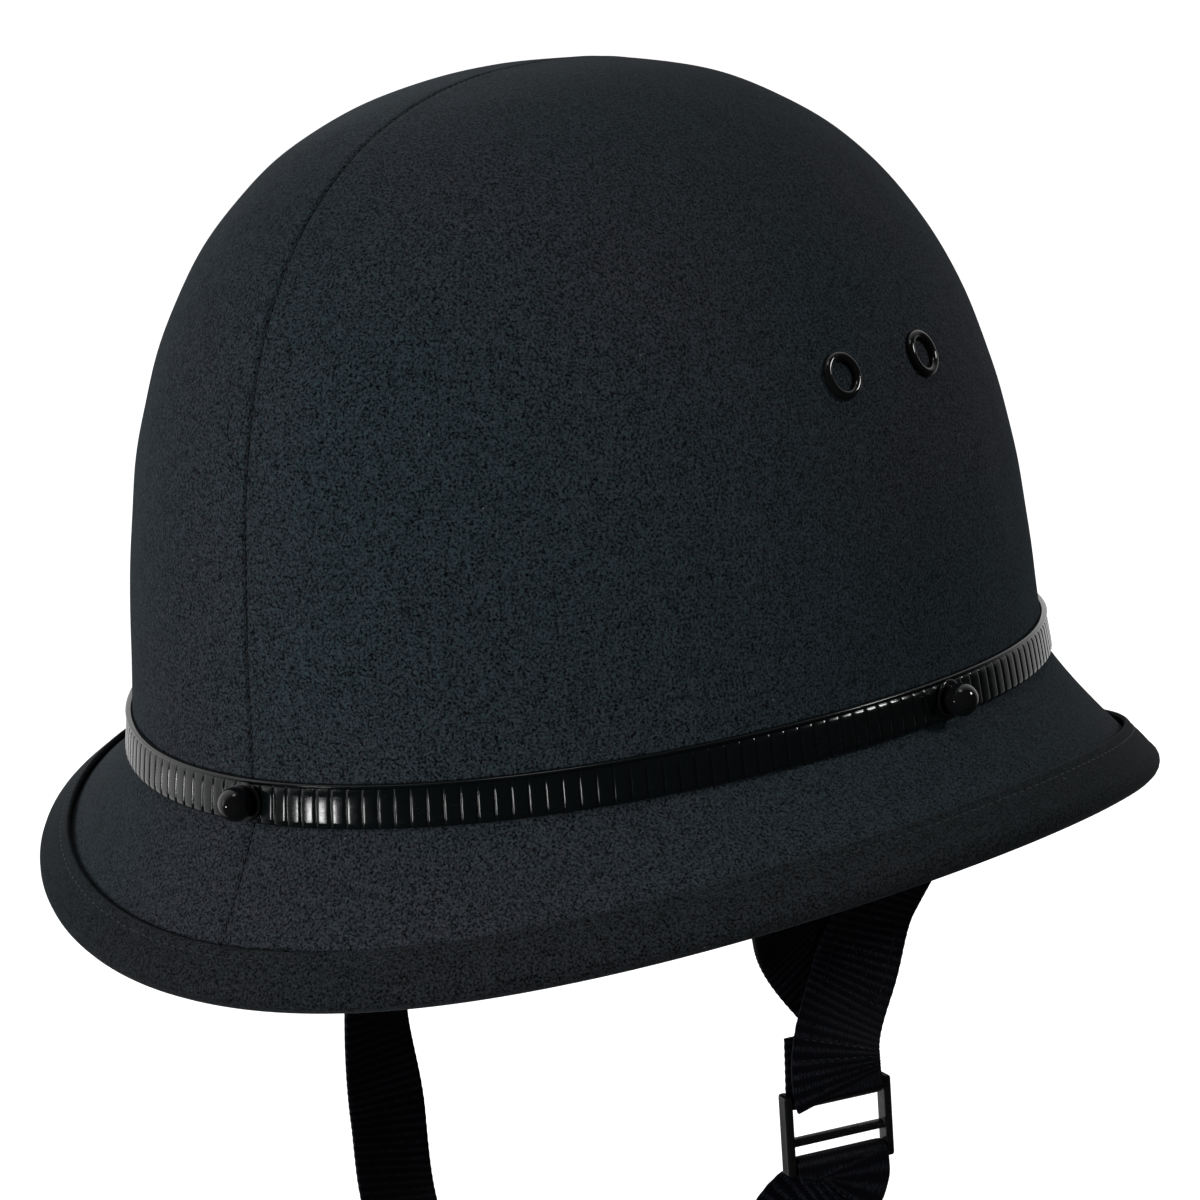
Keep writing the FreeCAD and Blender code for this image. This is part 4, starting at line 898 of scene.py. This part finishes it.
def turned(stations):
    """The same run in the other direction."""
    point, tangent, normal = stations
    return point[::-1], -tangent[::-1], normal[::-1]


def joined(*runs):
    """Runs of stations end to end, without the shared station between them."""
    trimmed = [runs[0]] + [[part[1:] for part in run] for run in runs[1:]]
    return tuple(np.concatenate(parts) for parts in zip(*trimmed))


def webbing(name, stations, width, node):
    """Ribbed flat webbing with rounded selvedges along the stations."""
    point, tangent, normal = stations
    side = np.cross(normal, tangent)
    s = travels(point)
    half = width / 2
    across = np.concatenate([[-half + 0.25], np.linspace(-half + 0.9, half - 0.9, 15), [half - 0.25]])
    full = np.clip((half - np.abs(across)) / 1.1, 0.0, 1.0)
    cord = 0.05 * np.exp(-((np.abs(across) - (half - 1.9)) / 0.5) ** 2)
    ribs = 0.09 * np.cos(TAU * s / RIB_PITCH)
    height = (0.47 + 0.14 * np.sqrt(full) + cord)[None, :] + ribs[:, None] * full[None, :]
    middle = point[:, None] + side[:, None] * across[None, :, None]
    upper = middle + normal[:, None] * height[..., None]
    lower = middle - normal[:, None] * height[..., None]
    wave = 0.05 * np.cos(TAU * s / RIB_PITCH + 1.0)[:, None]
    edges = []
    for sign, start in ((1, -1), (-1, 0)):
        top = height[:, start][:, None]
        out = sign * (half - 0.06 + wave)
        for lift in ((0.6, -0.6) if sign > 0 else (-0.6, 0.6)):
            edges.append((point + side * out + normal * (top * lift))[:, None])
    ring = np.concatenate([upper, *edges[:2], lower[:, ::-1], *edges[2:], upper[:, :1]], axis=1)
    girths = np.cumsum(np.linalg.norm(np.diff(ring, axis=1), axis=-1).mean(axis=0))
    uv = np.stack(np.meshgrid(s, np.append(0.0, girths), indexing="ij"), axis=-1)[..., ::-1]
    caps = [rim(upper[i], lower[i]) for i in (0, -1)]
    tips = []
    for i in (0, -1):
        for corner, high, low in ((-1, edges[0], edges[1]), (0, edges[3], edges[2])):
            tips.append(np.array([[upper[i, corner], high[i, 0]], [lower[i, corner], low[i, 0]]]))
    cap_maps = [np.zeros(c.shape[:2] + (2,)) for c in caps + tips]
    obj = piece(name, [ring] + caps + tips, [uv] + cap_maps)
    obj.data.materials.append(strap_weave_painted_highlights)
    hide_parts(node)
    return obj


def sewn(name, stations, lines):
    """Stitch lines on a strap: each line is (s0, w0, s1, w1, face) in travel and offset across."""
    point, tangent, normal = stations
    travel = travels(point)
    centres, along, normals = [], [], []
    for s0, w0, s1, w1, face in lines:
        length = math.hypot(s1 - s0, w1 - w0)
        count = max(1, int(length / 2.2))
        t = (np.arange(count) + 0.5) / count
        at = s0 + (s1 - s0) * t
        w = w0 + (w1 - w0) * t
        ahead, up, side = [unit(at_travel(values, travel, at))
                           for values in (tangent, normal, np.cross(normal, tangent))]
        centres.append(at_travel(point, travel, at) + side * w[:, None] + up * (face * STITCH_LIFT))
        along.append(unit(ahead * (s1 - s0) + side * (w1 - w0)))
        normals.append(up * face)
    rows = [np.concatenate(values) for values in (centres, along, normals)]
    return stitches(name, *rows, 1.7, 0.2, strap_thread)


def box_stitch(s0, s1, half, face):
    """A sewn box with a cross in it."""
    return [(s0, -half, s1, -half, face), (s0, half, s1, half, face), (s0, -half, s0, half, face),
            (s1, -half, s1, half, face), (s0, -half, s1, half, face), (s0, half, s1, -half, face)]


def vec(*xyz):
    return np.array(xyz, float)


WIDTH = 25.0
GAP = 1.5
TURN = 2.5
pivot_left, pivot_right = vec(78, -2, -73), vec(-78, -2, -73)
face_left, face_right = unit(vec(0.9, -0.44, 0)), vec(-1, 0, 0)
across_left = np.cross(UP, face_left)
slider_centre = vec(78, -9, -106)
top_bar, bottom_bar = slider_centre + UP * 9.4, slider_centre - UP * 9.4


ANCHOR_INSET = 8.4


def anchored(degrees):
    """A branch's first points, up inside the wall at this many degrees round, and its normals there."""
    phi0 = math.radians(degrees) % TAU
    points = [wall(np.array([phi0]), z, ANCHOR_INSET)[0] for z in (12.0, 6.0, 0.0, -6.0)]
    return points, [outward(np.array([phi0]))[0]] * 4


points, normals = anchored(101)
points += [vec(83, 7, -52), vec(79, 0, -70), top_bar + face_left * TURN + UP * 12, top_bar + face_left * TURN]
normals += [vec(0.95, -0.2, 0.1), face_left, face_left, face_left]
tail = top_bar - face_left * TURN
rear_left = joined(smooth(points, normals), fold(top_bar, DOWN, face_left, TURN),
                   smooth([tail, tail + UP * 7 + face_left * 0.5, tail + UP * 15 + face_left],
                          [-face_left] * 3))
strap = webbing("rear_branch_left", rear_left, WIDTH, "strap_rear_left")
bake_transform(strap)
main = travels(smooth(points, normals)[0])[-1]
tack = sewn("rear_branch_left_stitches", rear_left,
            [(main - 9.0, -10.5, main - 9.0, 10.5, 1), (main - 12.5, -10.5, main - 12.5, 10.5, 1)]
            + box_stitch(main - 44.0, main - 26.0, 8.5, 1))
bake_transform(tack)

points, normals = anchored(62)
inner_face = pivot_left - face_left * (GAP + 0.7)
points += [vec(82, -32, -38), inner_face - across_left * 10.5 + UP * 13.5,
           inner_face + across_left * 4 - UP * 6]
normals += [vec(0.9, -0.44, 0.1), face_left, face_left]
front_left = smooth(points, normals)
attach(webbing("front_branch_left", front_left, WIDTH, "strap_front_left"), "helmet")

points, normals = anchored(-101)
points += [vec(-86, 8, -50), pivot_right + vec(-GAP - 1.0, 1.5, 6), pivot_right + vec(-GAP - 0.3, 0, -7)]
normals += [vec(-1, 0, 0.2), face_right, face_right]
rear_right = smooth(points, normals)
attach(webbing("rear_branch_right", rear_right, WIDTH, "strap_rear_right"), "helmet")
end = travels(rear_right[0])[-1]
tack = sewn("rear_branch_right_stitches", rear_right, box_stitch(end - 16.0, end - 2.5, 9.0, 1))
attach(tack, "helmet")

points, normals = anchored(-62)
points += [vec(-82, -33, -38), pivot_right + vec(GAP + 0.6, -9, 10), pivot_right + vec(GAP + 0.3, 3.4, -6)]
normals += [vec(-0.9, -0.44, 0.1), face_right, face_right]
front_right = smooth(points, normals)
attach(webbing("front_branch_right", front_right, WIDTH, "strap_front_right"), "helmet")
end = travels(front_right[0])[-1]
tack = sewn("front_branch_right_stitches", front_right, box_stitch(end - 16.0, end - 3.0, 8.0, -1))
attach(tack, "helmet")

points, normals = anchored(141)
points += [vec(60, 72, -26), vec(33, 84, -36), vec(0, 88, -39)]
normals += [vec(0.75, 0.65, 0), vec(0.4, 0.9, 0), vec(0, 1, 0)]
mirror = vec(-1, 1, 1)
points += [p * mirror for p in reversed(points[:-1])]
normals += [n * mirror for n in reversed(normals[:-1])]
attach(webbing("nape_branch", smooth(points, normals), 20.0, "nape_strap"), "helmet")

buckle = vec(0, -19, -176)
socket_bar, tongue_bar = buckle + vec(23.8, 0, 0), buckle - vec(14.8, 0, 0)
outer_start = bottom_bar + face_left * TURN
left_run = smooth([outer_start, outer_start + DOWN * 5, vec(73, -15, -127), vec(62, -20, -144),
                   vec(50, -22, -160), vec(38, -21, -171), socket_bar + vec(5, 0, -TURN),
                   socket_bar + vec(0, 0, -TURN)],
                  [face_left, face_left, vec(0.82, -0.55, 0.1), vec(0.72, -0.5, -0.4), vec(0.5, -0.25, -0.8),
                   vec(0.25, -0.1, -1), DOWN, DOWN])
start_tail = bottom_bar - face_left * TURN
left_tail = smooth([start_tail + vec(-3.0, -1.2, -9.5), start_tail + vec(-0.6, -0.1, -4), start_tail],
                   [vec(-0.85, 0.5, -0.1), -face_left, -face_left])
socket_tail = socket_bar + vec(0, 0, TURN)
left_end = smooth([socket_tail, socket_tail + vec(6, 0, -0.1), socket_tail + vec(11.5, -0.5, 2.6)],
                  [UP, UP, vec(-0.4, 0, 1)])
start_run = joined(left_tail, turned(fold(bottom_bar, UP, face_left, TURN)))
chin_left = joined(start_run, left_run, fold(socket_bar, vec(-1, 0, 0), DOWN, TURN), left_end)
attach(webbing("chin_webbing_left", chin_left, WIDTH, "chin_strap_left"), "chin_loop")
first = travels(start_run[0])[-1]
last = travels(joined(start_run, left_run)[0])[-1]
rows = [(at, -10.5, at, 10.5, 1) for at in (first + 8.0, first + 10.5, last - 9.0, last - 11.5)]
tack = sewn("chin_webbing_left_stitches", chin_left, rows)
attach(tack, "chin_loop")

keeper_axis, keeper_face = unit(vec(-0.94, 0, 0.34)), unit(vec(-0.34, 0, -0.94))
run_start = tongue_bar + vec(-4, 0, -TURN + 0.25)
right_run = smooth([pivot_right + vec(0, 0, 7), pivot_right, vec(-78, -7, -98), vec(-75, -9, -128),
                    vec(-68, -15, -149)]
                   + [run_start + keeper_axis * d for d in (37, 30, 18, 6)] + [tongue_bar + vec(0, 0, -TURN)],
                   [face_right, face_right, face_right, vec(-0.96, 0.2, -0.1), vec(-0.9, 0.1, -0.5)]
                   + [keeper_face] * 4 + [DOWN])
tail_line = run_start - keeper_face * GAP
FREE_END = [(8, 1.3), (15, 0.3), (24, 0.15), (33, 0.15)]
right_tail = smooth([tongue_bar + vec(0, 0, TURN), tongue_bar + vec(-3, 0, TURN)]
                    + [tail_line + keeper_axis * d - keeper_face * rise for d, rise in FREE_END],
                    [UP, UP] + [-keeper_face] * len(FREE_END))
chin_right = joined(right_run, fold(tongue_bar, vec(1, 0, 0), DOWN, TURN), right_tail)
strap = webbing("chin_webbing_right", chin_right, WIDTH, "chin_strap_right")
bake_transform(strap)

# ---------------------------------------------------------------- moulded hardware


SHARP = math.radians(30.0)


def rounded(name, node, width, material, body):
    """The CAD part's shape with its sharp edges broken."""
    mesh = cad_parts[node].data.copy()
    mesh.materials.clear()
    mesh.transform(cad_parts[node].matrix_world)
    if mesh.attributes.get("custom_normal"):
        mesh.attributes.remove(mesh.attributes["custom_normal"])
    work = bmesh.new()
    work.from_mesh(mesh)
    bmesh.ops.remove_doubles(work, verts=work.verts, dist=1e-6)
    bmesh.ops.dissolve_limit(work, angle_limit=math.radians(1.0), verts=work.verts, edges=work.edges)
    edges = [e for e in work.edges if len(e.link_faces) == 2 and e.calc_face_angle(0.0) > SHARP]
    bmesh.ops.bevel(work, geom=edges, offset=width * MM, offset_type="OFFSET", segments=3, profile=0.5,
                    affect="EDGES", clamp_overlap=True)
    mesh.name = name
    obj = smoothed(name, mesh, work)
    obj.modifiers.new("shading", "WEIGHTED_NORMAL")
    dress(obj, material, body, node)


rounded("slider_frame", "slider_left", 0.35, slider_gloss, "chin_loop")
rounded("socket_housing", "buckle_socket", 0.45, buckle_satin, "chin_loop")
rounded("tongue_housing", "buckle_tongue", 0.40, buckle_satin, "tongue")
rounded("keeper_sleeve", "strap_keeper", 0.45, keeper_rubber, "keeper")

# the CAD parts that are seen as they are
KEPT = {"crown_shell": shell_plastic, "brim_board": board_fibre, "impact_liner": bead_foam,
        "stud_nuts": steel, "eyelet_washers": steel, "harness_rivets": steel, "harness_anchor_plates": steel}
for name, material in KEPT.items():
    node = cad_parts[name]
    node.data.materials.clear()
    node.data.materials.append(material)

# ---------------------------------------------------------------- floor and light

floor_mesh = bpy.data.meshes.new("floor")
FLOOR_Z = -0.190
FLOOR_HALF = 12.0
corners = [(x * FLOOR_HALF, y * FLOOR_HALF, FLOOR_Z) for x, y in ((-1, -1), (1, -1), (1, 1), (-1, 1))]
floor_mesh.from_pydata(corners, [], [(0, 1, 2, 3)])
floor = add_object("floor", floor_mesh)
p = Paint("floor_paint")
p.set(Base_Color=p.mix(p.noise(40.0, 2.0, 0.5), rgb(0.90, 0.90, 0.90), rgb(0.92, 0.92, 0.92)))
p.set(Roughness=0.9, Emission_Color=rgb(1, 1, 1), Emission_Strength=1.0)
floor.data.materials.append(p.material)
floor.visible_diffuse = False
floor.visible_glossy = False

world = bpy.data.worlds.new("studio")
bpy.context.scene.world = world
world.use_nodes = True

# the camera sees plain white; everything else is lit by a soft glow from one side
BACKDROP = Vector((-0.85, 0.45, 0.26))
GLOW = ((0.50, 0.02), (0.82, 0.62))
DIFFUSE_GLOW, GLOSSY_GLOW = 0.22, 1.35
studio = Nodes(world.node_tree)
studio.tree.nodes.clear()
facing = studio.add("VectorMath", {"operation": "DOT_PRODUCT"})
studio.feed(facing.inputs[0], studio.add("TexCoord").outputs["Generated"])
studio.feed(facing.inputs[1], BACKDROP)
ramp = studio.add("ValToRGB", Fac=studio.ranged(facing.outputs["Value"], -1.0, 1.0, 0.0, 1.0))
for element, (place, grey) in zip(ramp.color_ramp.elements, GLOW):
    element.position = place
    element.color = rgb(grey, grey, grey)
ray = studio.add("LightPath").outputs
strength = studio.ranged(ray["Is Glossy Ray"], 0.0, 1.0, DIFFUSE_GLOW, GLOSSY_GLOW)
lighting = studio.add("Background", Color=ramp.outputs["Color"], Strength=strength)
seen = studio.add("Background", Color=rgb(1, 1, 1), Strength=1.0)
choose = studio.add("MixShader", Fac=ray["Is Camera Ray"])
studio.feed(choose.inputs[1], lighting.outputs[0])
studio.feed(choose.inputs[2], seen.outputs[0])
studio.add("OutputWorld", Surface=choose.outputs[0])


def softbox(name, azimuth, elevation, distance, width, height, power):
    data = bpy.data.lights.new(name, "AREA")
    data.shape = "RECTANGLE"
    data.size, data.size_y, data.energy = width, height, power
    obj = add_object(name, data)
    a, e = math.radians(azimuth), math.radians(elevation)
    back = Vector((math.sin(a) * math.cos(e), -math.cos(a) * math.cos(e), math.sin(e)))
    obj.location = back * distance
    obj.rotation_mode = "QUATERNION"
    obj.rotation_quaternion = back.to_track_quat("Z", "Y")
    return obj


softbox("key_left", -42, 12, 2.2, 0.5, 1.1, 1.4)
softbox("key_front", -2, 6, 2.4, 0.35, 0.9, 38).visible_glossy = False
softbox("fill_right", 82, 14, 2.4, 0.8, 1.2, 6).visible_glossy = False
softbox("overhead", 30, 75, 2.2, 0.6, 0.6, 3)
softbox("glint_front", -16, -3, 2.2, 0.26, 0.16, 4.5)
softbox("glint_right", 124, 30, 2.2, 0.4, 0.4, 12)

view = bpy.context.scene.view_settings
view.view_transform = "Standard"
view.look = "None"
